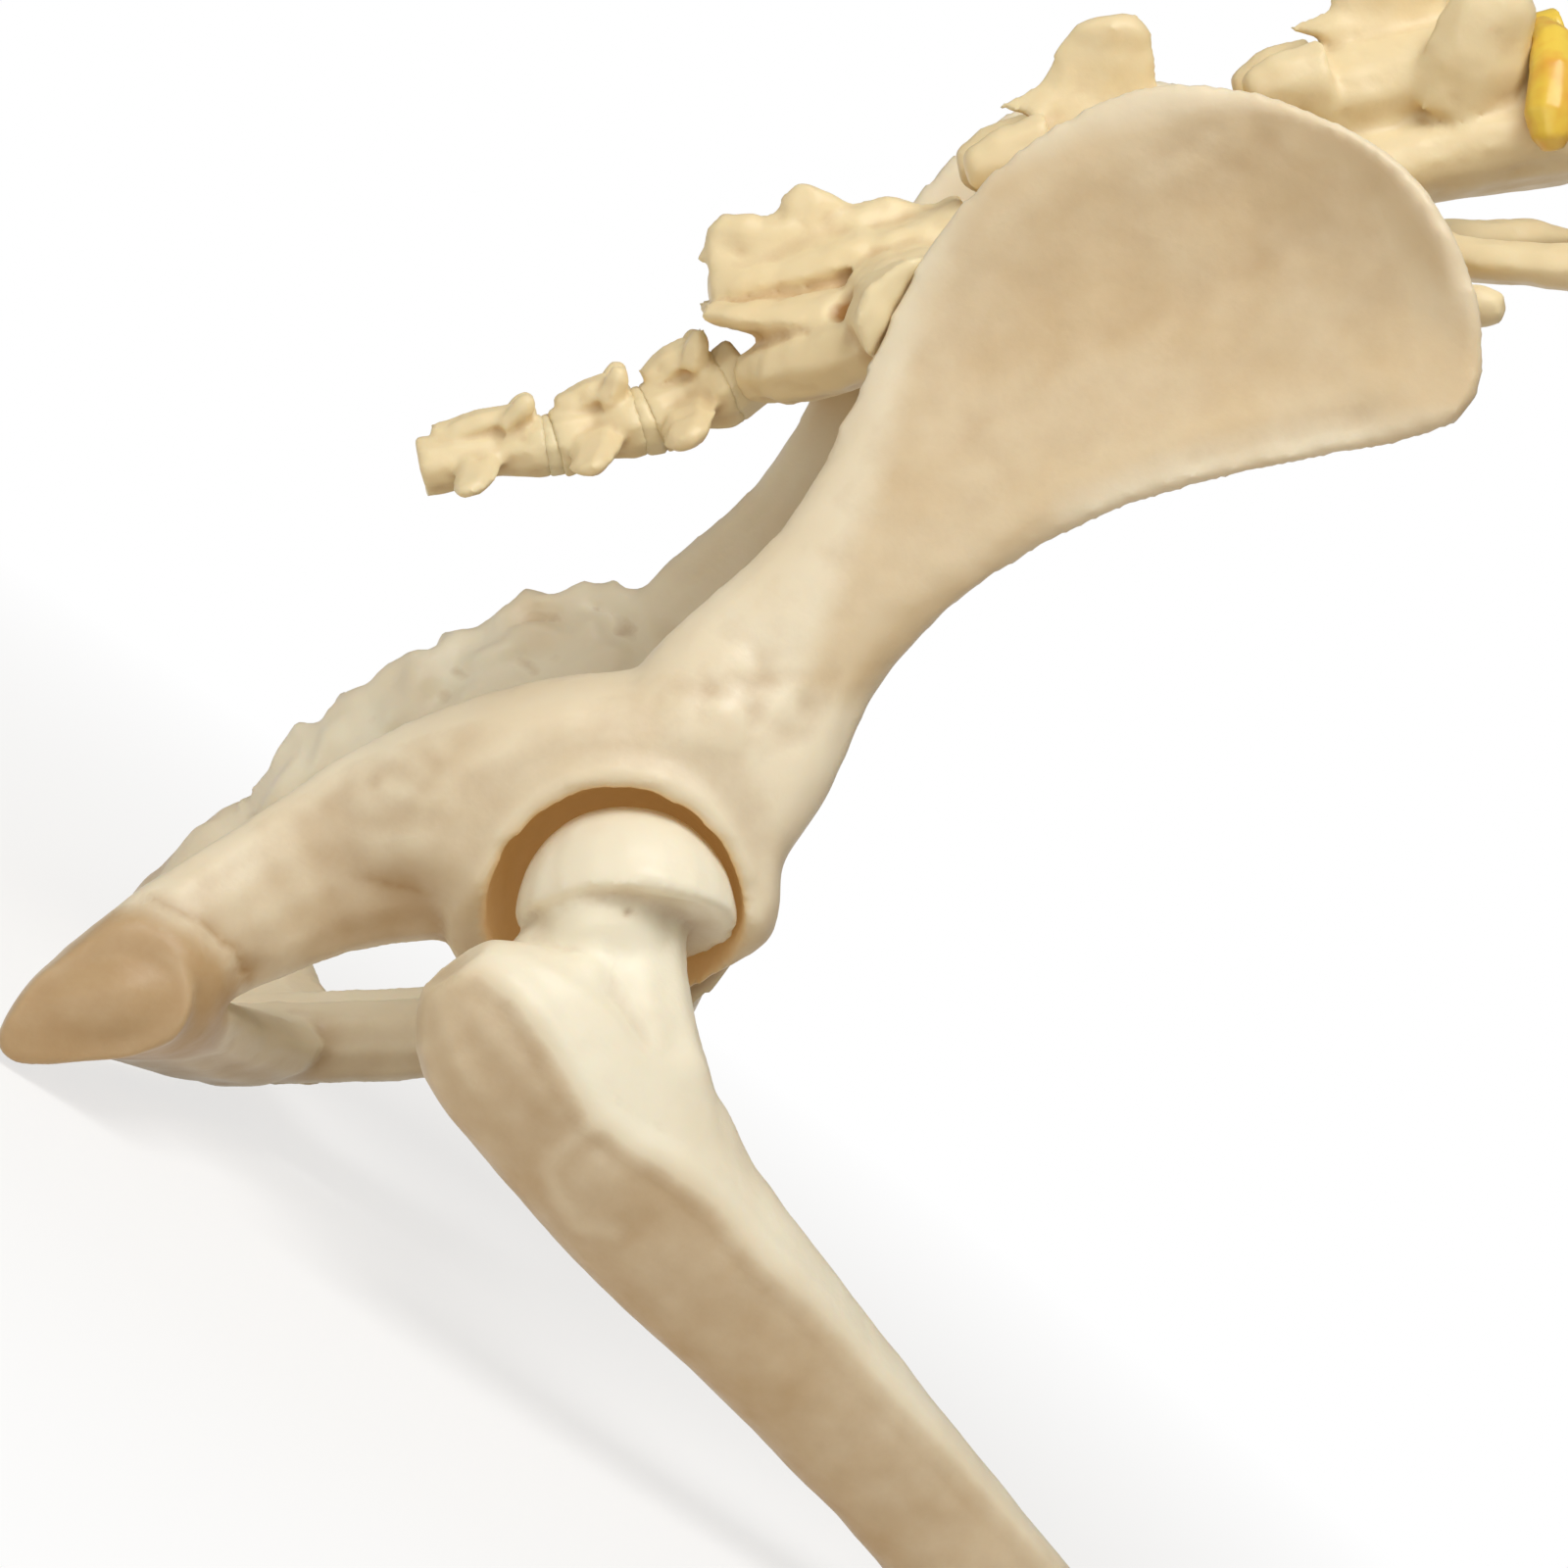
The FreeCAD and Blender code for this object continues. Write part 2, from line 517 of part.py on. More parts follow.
def sacrum():
    """The fused sacrum: tapering body, side masses to the hip bones, bars, flat ledges and a crest of three bumps."""
    step = sacrum_face - spine_way * 6
    body = limb("sacrum_body", [
        (tuple(sacrum_face), 1.00, 1.00), (tuple(step), 0.94, 0.92), ((30, 0, 61.2), 0.84, 0.80),
        ((20.5, 0, 58.0), 0.72, 0.68), (tuple(sacrum_end), 0.56, 0.66),
    ], "body_wide", "body_tall", ACROSS_Y, sides=16, parts=1)
    roof = limb("sacrum_roof", [
        ((42.5, 0, 74.5), 0.95, 0.45), ((34, 0, 71), 1.0, 0.55), ((24, 0, 68.5), 0.85, 0.55),
        ((15.5, 0, 66.5), 0.60, 0.45), ((12.2, 0, 66.5), 0.40, 0.35),
    ], "arch_wide", "arch_tall", ACROSS_Y, sides=10, parts=1)
    core = limb("sacrum_core", [
        ((40, 0, 69), 0.75, 0.9), ((28, 0, 65), 0.62, 0.8), ((17, 0, 60.5), 0.5, 0.75),
    ], "body_wide", "body_tall", ACROSS_Y, sides=10, parts=1)
    wing = limb("sacrum_wing", [
        ((37, -7, 65), 1.0, 1.0), ((37.5, -15, 64), 1.0, 0.9), ((38.5, lateral(-11.5), 64), 1.05, 1.05),
    ], "sacral_wing_wide", "sacral_wing_tall", ACROSS_X, sides=12, parts=1)
    side_bar = limb("sacrum_side", [
        ((34, -14, 62.0), 0.60, 0.62), ((27, -11.5, 59.5), 0.60, 0.62), ((20.5, -7.5, 57.4), 0.50, 0.58),
        ((17.0, -4, 56.6), 0.30, 0.45),
    ], "sacral_wing_wide", "sacral_wing_tall", ACROSS_Y, sides=8, parts=1)
    ledge = limb("sacrum_ledge", [
        ((30, -9, 64.0), 0.60, 0.50), ((22, -7.0, 63.2), 0.52, 0.36), ((15.5, -5.4, 63.3), 0.42, 0.24),
        ((11.7, -4.6, 64.0), 0.26, 0.15),
    ], "sacral_wing_wide", "sacral_wing_tall", ACROSS_Y, sides=8, parts=1)
    right = [wing, side_bar, ledge]
    left = [mirrored(piece.Name + "_left", piece) for piece in right]
    crest = limb("sacrum_crest", [
        ((41.0, 0, 71.5), 1.1, 0.60), ((34.0, 0, 71.6), 1.20, 0.66), ((25, 0, 70.8), 1.20, 0.70),
        ((15.5, 0, 69.2), 1.00, 0.66), ((12.0, 0, 69.2), 0.80, 0.55),
    ], "sacral_blade", "sacral_blade", ACROSS_Z, sides=8, parts=1)
    bumps = [limb("sacrum_bump_%d" % number, [
        ((place, 0, 69.5), 1.10, 0.60), ((place, 0, top - 1.6), 0.85, 0.50), ((place + 0.2, 0, top), 0.55, 0.30),
    ], "sacral_blade", "sacral_blade", ACROSS_X, sides=8, parts=1)
        for number, (place, top) in enumerate(((15.6, 75.2), (24.6, 78.4), (34.4, 76.9)), start=1)]
    return fuse("sacrum_whole", [body, roof, core, crest] + bumps + right + left)


# Tail vertebrae: rear face, front face and girth share of each; the discs fill the spaces between.
TAIL = [
    ((5.6, 0, 51.2), (14.5, 0, 55.2), 1.00),
    ((-5.6, 0, 48.4), (4.2, 0, 51.0), 0.92),
    ((-21.6, 0, 45.6), (-6.8, 0, 48.2), 0.80),
]


def tail_vertebra(number, rear, front, girth):
    """A small tail vertebra: waisted body, low arch, side processes and four joint knobs."""
    name = "tail_%d" % number
    rear, front = Vector(*rear), Vector(*front)
    middle = (rear + front) * 0.5
    along = front - rear
    reach = along.Length / 2
    along.normalize()
    frame = FreeCAD.Placement(middle, FreeCAD.Rotation(ACROSS_Y, -math.degrees(math.atan2(along.z, along.x))))
    body = limb(name + "_body", [
        ((-reach, 0, 0), girth * 0.92, girth), ((-reach + 1.5, 0, 0), girth * 0.92, girth),
        ((0, 0, 0.2), girth * 0.74, girth * 0.82), ((reach - 1.5, 0, 0), girth, girth),
        ((reach, 0, 0), girth, girth),
    ], "tail_wide", "tail_tall", ACROSS_Y, frame, sides=10, parts=1)
    hump = limb(name + "_hump", [
        ((-reach * 0.7, 0, 3.6 * girth), girth * 0.75, girth * 0.7), ((0, 0, 4.6 * girth), girth, girth * 0.8),
        ((reach * 0.5, 0, 5.0 * girth), girth, girth * 0.7), ((reach * 0.9, 0, 5.0 * girth), girth * 0.5, girth * 0.4),
    ], "tail_process", "tail_process", ACROSS_Y, frame, sides=8, parts=1)
    side = limb(name + "_side", right_side([
        ((-0.6, 3, -0.6), girth * 1.15, girth * 0.62), ((-1.2, 8 * girth, -1.6), girth, girth * 0.45),
        ((-2.2, 11.6 * girth, -2.6), girth * 0.85, girth * 0.42), ((-2.6, 13.2 * girth, -3.0), girth * 0.4, girth * 0.25)]),
        "tail_process", "tail_process", ACROSS_X, frame, sides=6, parts=1)
    knob = limb(name + "_knob", right_side([
        ((reach * 0.4, 2.6 * girth, 3.6 * girth), girth * 0.62, girth * 0.6),
        ((reach * 0.75, 3.4 * girth, 6.4 * girth), girth * 0.5, girth * 0.5),
        ((reach * 0.85, 3.6 * girth, 7.6 * girth), girth * 0.25, girth * 0.25)]),
        "tail_process", "tail_process", ACROSS_Y, frame, sides=6, parts=1)
    right = [side, knob]
    left = [mirrored(piece.Name + "_left", piece) for piece in right]
    return fuse(name + "_whole", [body, hump] + right + left)


def tail_disc(number, ahead, row, neighbours):
    """A thin disc that fills the wedge between a tail vertebra's front face and the face ahead of it."""
    front, girth = Vector(*row[1]), row[2] * size("tail_disc_share")
    ahead = Vector(*ahead)
    over = (ahead - front) * 0.5
    blank = limb("tail_disc_%d_blank" % number, [(tuple(front - over), girth, girth), (tuple(ahead + over), girth, girth)],
                 "tail_wide", "tail_tall", ACROSS_Y, sides=10, parts=1)
    return cut("tail_disc_%d_solid" % number, blank, fuse("tail_disc_%d_faces" % number, neighbours))


def spinal_cord():
    """The cord lies in the canals of the last two vertebrae and stands out ahead of the sixth."""
    start = seven_centre - spine_way * (size("length_seven") / 2 - 2)
    start = start + spine_turn.multVec(Vector(0, 0, size("canal_height")))
    return rod("cord_rod", start, spine_way, "Sizes.canal_radius - Sizes.cord_clearance",
               "Sizes.length_seven + Sizes.disc_thickness + Sizes.length_six + 1")


def nerve():
    """A nerve root that leaves the cord ahead of the sixth vertebra's arch and runs down its right flank."""
    frame = FreeCAD.Placement(six_centre, spine_turn)
    return limb("nerve_root", right_side([
        ((17.0, 3.0, 10.8), 0.9, 0.9), ((17.2, 7.5, 9.6), 1.0, 0.95), ((15.6, 12.4, 6.6), 1.05, 1.0),
        ((13.6, 14.8, 2.4), 1.1, 1.0), ((13.2, 15.3, 0.0), 0.9, 0.85), ((13.0, 15.1, -1.6), 0.45, 0.45)]),
        "nerve_radius", "nerve_radius", ACROSS_X, frame, sides=10, parts=1)


def hip_screw():
    """The screw that holds the right femoral head off its socket, driven from the inside of the pelvis."""
    start = Vector(head_x, cup_back_y, head_z)
    shank = rod("screw_shank", start, Vector(0, -1, 0), "Sizes.screw_radius",
                cup_back_y - head_y - head_r + size("screw_bite"))
    head = rod("screw_head", start, ACROSS_Y, "Sizes.screw_head_radius", "Sizes.screw_head_height")
    return fuse("screw_whole", [shank, head])


hip_source = right_hip_bone()
hip_left = left_hip_bone()
femur_source = femur()
screw_source = hip_screw()
six = vertebra("six", six_centre, "length_six", TRANSVERSE_SIX, 19.0, "spinous_height_six")
seven = vertebra("seven", seven_centre, "length_seven", TRANSVERSE_SEVEN, 14.5, "spinous_height_seven")
disc_seven = disc("disc_seven_solid", sacrum_face)
disc_six = disc("disc_six_solid", seven_centre + spine_way * (size("length_seven") / 2))
sacrum_source = cut("sacrum_solid", sacrum(), fuse("sacrum_neighbours", [hip_source, hip_left, seven, disc_seven]))
cord = spinal_cord()
root_right = cut("root_right", nerve(), fuse("root_neighbours", [six, cord]))
root_left = mirrored("root_left", root_right)
tail = [tail_vertebra(number, *row) for number, row in enumerate(TAIL, start=1)]
tail_discs = [tail_disc(1, sacrum_end, TAIL[0], [sacrum_source, tail[0]]),
              tail_disc(2, TAIL[0][0], TAIL[1], tail[:2]),
              tail_disc(3, TAIL[1][0], TAIL[2], tail[1:])]

NODES = {
    "right_hip_bone": hip_source,
    "left_hip_bone": hip_left,
    "right_femur": femur_source,
    "right_hip_screw": screw_source,
    "sacrum": sacrum_source,
    "lumbar_vertebra_7": seven,
    "lumbar_vertebra_6": six,
    "lumbosacral_disc": disc_seven,
    "lumbar_disc": disc_six,
    "spinal_cord": cord,
    "right_nerve_root": root_right,
    "left_nerve_root": root_left,
    "tail_vertebra_1": tail[0],
    "tail_vertebra_2": tail[1],
    "tail_vertebra_3": tail[2],
    "tail_disc_1": tail_discs[0],
    "tail_disc_2": tail_discs[1],
    "tail_disc_3": tail_discs[2],
}
doc.recompute()


def lowest_corner(source, turn):
    return min((vertex.Point for vertex in source.Shape.Vertexes), key=lambda point: turn.multVec(point).z)


# The model leans back until the tips of both tubers and the end of the femur stand on one floor.
lean = 30.0
for attempt in range(6):
    turn = FreeCAD.Rotation(ACROSS_Y, -lean)
    tuber_tip = lowest_corner(hip_source, turn)
    femur_tip = lowest_corner(femur_source, turn)
    lean = math.degrees(math.atan2(tuber_tip.z - femur_tip.z, femur_tip.x - tuber_tip.x))
SEAT = FreeCAD.Rotation(ACROSS_Y, -lean)
floor = SEAT.multVec(tuber_tip).z
turned = [SEAT.multVec(vertex.Point) for item in NODES.values() for vertex in item.Shape.Vertexes]
middle_x = (min(point.x for point in turned) + max(point.x for point in turned)) / 2
middle_y = (min(point.y for point in turned) + max(point.y for point in turned)) / 2
REST = FreeCAD.Placement(Vector(-middle_x, -middle_y, -floor), SEAT)
print("lean", lean, "move", REST.Base)

os.makedirs("parts", exist_ok=True)
total = 0
nodes = {}
for name, source in NODES.items():
    node = doc.addObject("Part::Feature", "node_" + name)
    node.Label = name
    node.Shape = source.Shape
    node.Placement = REST.multiply(source.Placement)
    nodes[name] = node
doc.recompute()
for item in doc.Objects:
    troubles = [word for word in item.State if word in ("Invalid", "Error")]
    if troubles:
        raise RuntimeError("%s is %s" % (item.Name, troubles))
for name, node in nodes.items():
    shape = node.Shape
    if shape.isNull() or not shape.isValid():
        raise RuntimeError("%s has no valid solid" % name)
    facets = len(shape.tessellate(max(0.01, 0.0002 * shape.BoundBox.DiagonalLength))[1])
    total += facets
    box = shape.BoundBox
    print(name, len(shape.Solids), "solids", round(shape.Volume), "mm3", facets, "facets",
          [round(v, 1) for v in (box.XMin, box.YMin, box.ZMin, box.XMax, box.YMax, box.ZMax)])
    shape.exportStep("parts/%s.step" % name)
print("facets in all", total)
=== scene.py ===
"""Looks of the dog hip joint model: smooth bone mouldings with hollows, ridges and rough spots.

Lengths are in metres. Places on the bones are given in the animal's own directions, in millimetres from
the middle of the right hip socket's height: x to the head, y to the left and z to the back. A touch on a
bone is given by its height, its place and its reach, all in millimetres.
"""

import json
import math

import bmesh
import bpy
import numpy as np
from mathutils import Matrix, Vector, noise


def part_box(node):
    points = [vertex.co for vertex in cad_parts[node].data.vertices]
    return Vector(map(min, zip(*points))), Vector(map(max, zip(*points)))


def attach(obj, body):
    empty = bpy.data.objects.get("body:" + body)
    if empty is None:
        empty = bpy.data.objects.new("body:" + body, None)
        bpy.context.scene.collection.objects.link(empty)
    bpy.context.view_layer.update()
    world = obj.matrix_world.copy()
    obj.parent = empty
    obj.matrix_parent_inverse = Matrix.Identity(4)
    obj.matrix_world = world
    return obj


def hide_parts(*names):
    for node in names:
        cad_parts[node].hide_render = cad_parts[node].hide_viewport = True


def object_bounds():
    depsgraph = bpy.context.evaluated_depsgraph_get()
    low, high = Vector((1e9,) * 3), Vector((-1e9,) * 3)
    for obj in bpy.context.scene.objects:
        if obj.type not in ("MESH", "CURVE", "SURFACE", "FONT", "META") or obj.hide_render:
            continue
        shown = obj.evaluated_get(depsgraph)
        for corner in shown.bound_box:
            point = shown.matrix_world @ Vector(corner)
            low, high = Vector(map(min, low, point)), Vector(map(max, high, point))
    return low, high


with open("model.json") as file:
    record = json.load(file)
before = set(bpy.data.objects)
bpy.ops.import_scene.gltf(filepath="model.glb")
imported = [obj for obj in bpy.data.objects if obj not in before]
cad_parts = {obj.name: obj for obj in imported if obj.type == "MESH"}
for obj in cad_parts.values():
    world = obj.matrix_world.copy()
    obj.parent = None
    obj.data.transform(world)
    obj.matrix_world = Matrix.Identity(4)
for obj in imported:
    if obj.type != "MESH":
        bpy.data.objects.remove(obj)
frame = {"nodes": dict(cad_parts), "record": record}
cad_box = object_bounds()

MM = 0.001
IMAGE_SIDE = 1600
SENSOR_SIDE = 36.0

# The model leans back on its tubers and its femur, so the animal's directions are turned about Y.
SPINE_SLOPE = math.radians(15.0)
HEAD_AHEAD = 1.3
HEAD_BELOW = 1.2

mounts = {mount["name"]: mount for mount in frame["record"]["mounts"]}
spine_axis = mounts["spine_front_face"]["axis"]
lean = math.atan2(spine_axis[2], spine_axis[0]) - SPINE_SLOPE
lean_matrix = Matrix.Rotation(-lean, 3, "Y")
screw_low, screw_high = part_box("right_hip_screw")
cord_low, cord_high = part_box("spinal_cord")
screw_axis = (Vector(screw_low) + Vector(screw_high)) / 2
body_middle = Vector((screw_axis.x, (cord_low[1] + cord_high[1]) / 2, screw_axis.z))
body_origin = body_middle - lean_matrix @ Vector((HEAD_AHEAD * MM, 0, -HEAD_BELOW * MM))
LEAN_ROWS = np.array(lean_matrix)
ORIGIN_ROW = np.array(body_origin)


def placed(x, y, z):
    """The point of the standing model at the animal's x, y and z in millimetres."""
    return body_origin + lean_matrix @ (Vector((x, y, z)) * MM)


def animal_mm(points):
    """Rows of points of the standing model in the animal's own millimetres."""
    return (points - ORIGIN_ROW) @ LEAN_ROWS / MM


# Sockets of a Mix node that blends colours: its two colours and what it gives.
FIRST_COLOUR = 6
SECOND_COLOUR = 7
BLENDED = 2


def linear(hex_colour):
    """An sRGB hex colour as linear red, green, blue and alpha."""
    shares = [int(hex_colour[place:place + 2], 16) / 255 for place in (1, 3, 5)]
    return tuple(s / 12.92 if s <= 0.04045 else ((s + 0.055) / 1.055) ** 2.4 for s in shares) + (1.0,)


def add_node(tree, kind, settings=None, inputs=None, links=None):
    """A node of a kind with its settings, input values and links from other nodes' outputs."""
    node = tree.nodes.new(kind)
    for name, value in (settings or {}).items():
        setattr(node, name, value)
    for name, value in (inputs or {}).items():
        node.inputs[name].default_value = value
    for name, output in (links or {}).items():
        tree.links.new(output, node.inputs[name])
    return node


def new_material(name):
    """A new material and its node tree, which is empty."""
    material = bpy.data.materials.new(name)
    material.use_nodes = True
    material.node_tree.nodes.clear()
    return material, material.node_tree


def moulded_pvc(name, lit, shade_colour, blush_and_shade):
    """Ivory PVC cast in a silicone mould, with painted tan shade and a faint tint on its broad faces.

    Painted shade makes hollows, pits, creases, undersides and faces turned from the light warmer and
    darker;
    the tint is partly the plastic's own blush and partly painted shade. Wide soft clouds break up the
    ivory, and the skin has a satin gloss with a fine grain and slight waves. The cup's inside has a
    painted brown glow, an emission that stands in for light passing the thin cup wall.
    """
    cloud_size = 26 * MM
    mottle_size = 5 * MM
    wave_size = 3.2 * MM
    grain_size = 0.7 * MM
    satin = 0.42
    material, tree = new_material(name)
    place = add_node(tree, "ShaderNodeTexCoord").outputs["Object"]
    # Painted shade, the tint that is partly painted shade, and the painted glow, as the mesh carries them.
    painted_shade = add_node(tree, "ShaderNodeAttribute", {"attribute_name": "painted_shade"}).outputs["Fac"]
    tint_and_shade = add_node(tree, "ShaderNodeAttribute", {"attribute_name": "tint_and_shade"}).outputs["Fac"]
    painted_glow = add_node(tree, "ShaderNodeAttribute", {"attribute_name": "painted_glow"}).outputs["Fac"]
    clouds = add_node(tree, "ShaderNodeTexNoise",
                      inputs={"Scale": 1 / cloud_size, "Detail": 3.0, "Roughness": 0.55},
                      links={"Vector": place})
    cloud_ramp = add_node(tree, "ShaderNodeMapRange",
                          inputs={"From Min": 0.40, "From Max": 0.72, "To Max": 0.32},
                          links={"Value": clouds.outputs["Fac"]})
    tint_and_shade_share = add_node(tree, "ShaderNodeMath", {"operation": "ADD", "use_clamp": True},
                      links={0: cloud_ramp.outputs["Result"], 1: tint_and_shade})
    clouded = add_node(tree, "ShaderNodeMix", {"data_type": "RGBA"},
                       inputs={FIRST_COLOUR: linear(lit), SECOND_COLOUR: linear(blush_and_shade)},
                       links={0: tint_and_shade_share.outputs["Value"]})
    mottle = add_node(tree, "ShaderNodeTexNoise",
                      inputs={"Scale": 1 / mottle_size, "Detail": 4.0, "Roughness": 0.6},
                      links={"Vector": place})
    # Mottle roughens the edge of the painted shade, which turns the colour to the shade colour.
    uneven = add_node(tree, "ShaderNodeMath", {"operation": "MULTIPLY_ADD"},
                      inputs={1: 0.4}, links={0: mottle.outputs["Fac"], 2: painted_shade})
    painted_shade_ramp = add_node(tree, "ShaderNodeMapRange", inputs={"From Min": 0.24, "From Max": 1.25},
                         links={"Value": uneven.outputs["Value"]})
    shade_mix = add_node(tree, "ShaderNodeMix", {"data_type": "RGBA"},
                      inputs={SECOND_COLOUR: linear(shade_colour)},
                      links={0: painted_shade_ramp.outputs["Result"], FIRST_COLOUR: clouded.outputs[BLENDED]})
    grain = add_node(tree, "ShaderNodeTexNoise",
                     inputs={"Scale": 1 / grain_size, "Detail": 3.0, "Roughness": 0.6},
                     links={"Vector": place})
    waves = add_node(tree, "ShaderNodeTexNoise", inputs={"Scale": 1 / wave_size, "Detail": 2.0},
                     links={"Vector": place})
    wave_bump = add_node(tree, "ShaderNodeBump", inputs={"Strength": 0.45, "Distance": 0.30 * MM},
                         links={"Height": waves.outputs["Fac"]})
    grain_bump = add_node(tree, "ShaderNodeBump", inputs={"Strength": 0.40, "Distance": 0.06 * MM},
                          links={"Height": grain.outputs["Fac"], "Normal": wave_bump.outputs["Normal"]})
    gloss = add_node(tree, "ShaderNodeMapRange",
                     inputs={"From Min": 0.3, "From Max": 0.7,
                             "To Min": satin - 0.06, "To Max": satin + 0.10},
                     links={"Value": mottle.outputs["Fac"]})
    # The painted glow drives the emission: the cup's inside glows brown though no lamp lights it.
    skin = add_node(tree, "ShaderNodeBsdfPrincipled",
                    inputs={"IOR": 1.50, "Subsurface Weight": 0.22, "Subsurface Scale": 2.5 * MM,
                            "Subsurface Radius": (1.0, 0.65, 0.35), "Specular IOR Level": 0.40,
                            "Emission Color": linear("#73552D")},
                    links={"Base Color": shade_mix.outputs[BLENDED], "Roughness": gloss.outputs["Result"],
                           "Normal": grain_bump.outputs["Normal"], "Emission Strength": painted_glow})
    add_node(tree, "ShaderNodeOutputMaterial", links={"Surface": skin.outputs["BSDF"]})
    return material


def painted_root():
    """Yellow PVC nerve, dip-painted: glossy, with an orange tinge where the paint lies thick."""
    run_size = 6 * MM
    material, tree = new_material("yellow_painted_pvc_nerve")
    place = add_node(tree, "ShaderNodeTexCoord").outputs["Object"]
    runs = add_node(tree, "ShaderNodeTexNoise", inputs={"Scale": 1 / run_size, "Detail": 3.0},
                    links={"Vector": place})
    tinge = add_node(tree, "ShaderNodeMapRange", inputs={"From Min": 0.45, "From Max": 0.75},
                     links={"Value": runs.outputs["Fac"]})
    colour = add_node(tree, "ShaderNodeMix", {"data_type": "RGBA"},
                      inputs={FIRST_COLOUR: linear("#E9C94E"), SECOND_COLOUR: linear("#DE9A3C")},
                      links={0: tinge.outputs["Result"]})
    waves = add_node(tree, "ShaderNodeBump", inputs={"Strength": 0.3, "Distance": 0.2 * MM},
                     links={"Height": runs.outputs["Fac"]})
    skin = add_node(tree, "ShaderNodeBsdfPrincipled", inputs={"IOR": 1.50, "Roughness": 0.30},
                    links={"Base Color": colour.outputs[BLENDED], "Normal": waves.outputs["Normal"]})
    add_node(tree, "ShaderNodeOutputMaterial", links={"Surface": skin.outputs["BSDF"]})
    return material


def soft_pvc_disc():
    """Soft PVC disc, moulded and stained amber, duller than the bones and streaked round its rim."""
    streak_size = 2.5 * MM
    material, tree = new_material("amber_soft_pvc_disc")
    place = add_node(tree, "ShaderNodeTexCoord").outputs["Object"]
    streaks = add_node(tree, "ShaderNodeTexNoise", inputs={"Scale": 1 / streak_size, "Detail": 4.0},
                       links={"Vector": place})
    blend = add_node(tree, "ShaderNodeMapRange", inputs={"From Min": 0.35, "From Max": 0.70},
                     links={"Value": streaks.outputs["Fac"]})
    colour = add_node(tree, "ShaderNodeMix", {"data_type": "RGBA"},
                      inputs={FIRST_COLOUR: linear("#D9B37C"), SECOND_COLOUR: linear("#B98450")},
                      links={0: blend.outputs["Result"]})
    bump = add_node(tree, "ShaderNodeBump", inputs={"Strength": 0.4, "Distance": 0.15 * MM},
                    links={"Height": streaks.outputs["Fac"]})
    skin = add_node(tree, "ShaderNodeBsdfPrincipled", inputs={"IOR": 1.50, "Roughness": 0.55},
                    links={"Base Color": colour.outputs[BLENDED], "Normal": bump.outputs["Normal"]})
    add_node(tree, "ShaderNodeOutputMaterial", links={"Surface": skin.outputs["BSDF"]})
    return material


def zinc_plated_steel():
    """Turned steel screw with bright zinc plating: fine turning lines and a soft metal shine."""
    line_spacing = 6 * MM
    material, tree = new_material("zinc_plated_steel_screw")
    place = add_node(tree, "ShaderNodeTexCoord").outputs["Object"]
    lines = add_node(tree, "ShaderNodeTexWave", {"bands_direction": "Y"},
                     inputs={"Scale": 1 / line_spacing, "Distortion": 0.6, "Detail": 2.0},
                     links={"Vector": place})
    bump = add_node(tree, "ShaderNodeBump", inputs={"Strength": 0.25, "Distance": 0.08 * MM},
                    links={"Height": lines.outputs["Fac"]})
    rough = add_node(tree, "ShaderNodeMapRange", inputs={"To Min": 0.25, "To Max": 0.40},
                     links={"Value": lines.outputs["Fac"]})
    skin = add_node(tree, "ShaderNodeBsdfPrincipled",
                    inputs={"Base Color": linear("#B9BCBE"), "Metallic": 1.0},
                    links={"Roughness": rough.outputs["Result"], "Normal": bump.outputs["Normal"]})
    add_node(tree, "ShaderNodeOutputMaterial", links={"Surface": skin.outputs["BSDF"]})
    return material


# Each bone's colours: lit ivory, the painted shade's tan, and a blush that is partly painted shade.
IVORY = moulded_pvc("ivory_moulded_pvc_bone", "#F6F0DA", "#AC8757", "#D6BF98")
WARM = moulded_pvc("warm_moulded_pvc_bone", "#EAD9B0", "#B08046", "#DDBE86")
NERVE = painted_root()
DISC = soft_pvc_disc()
STEEL = zinc_plated_steel()


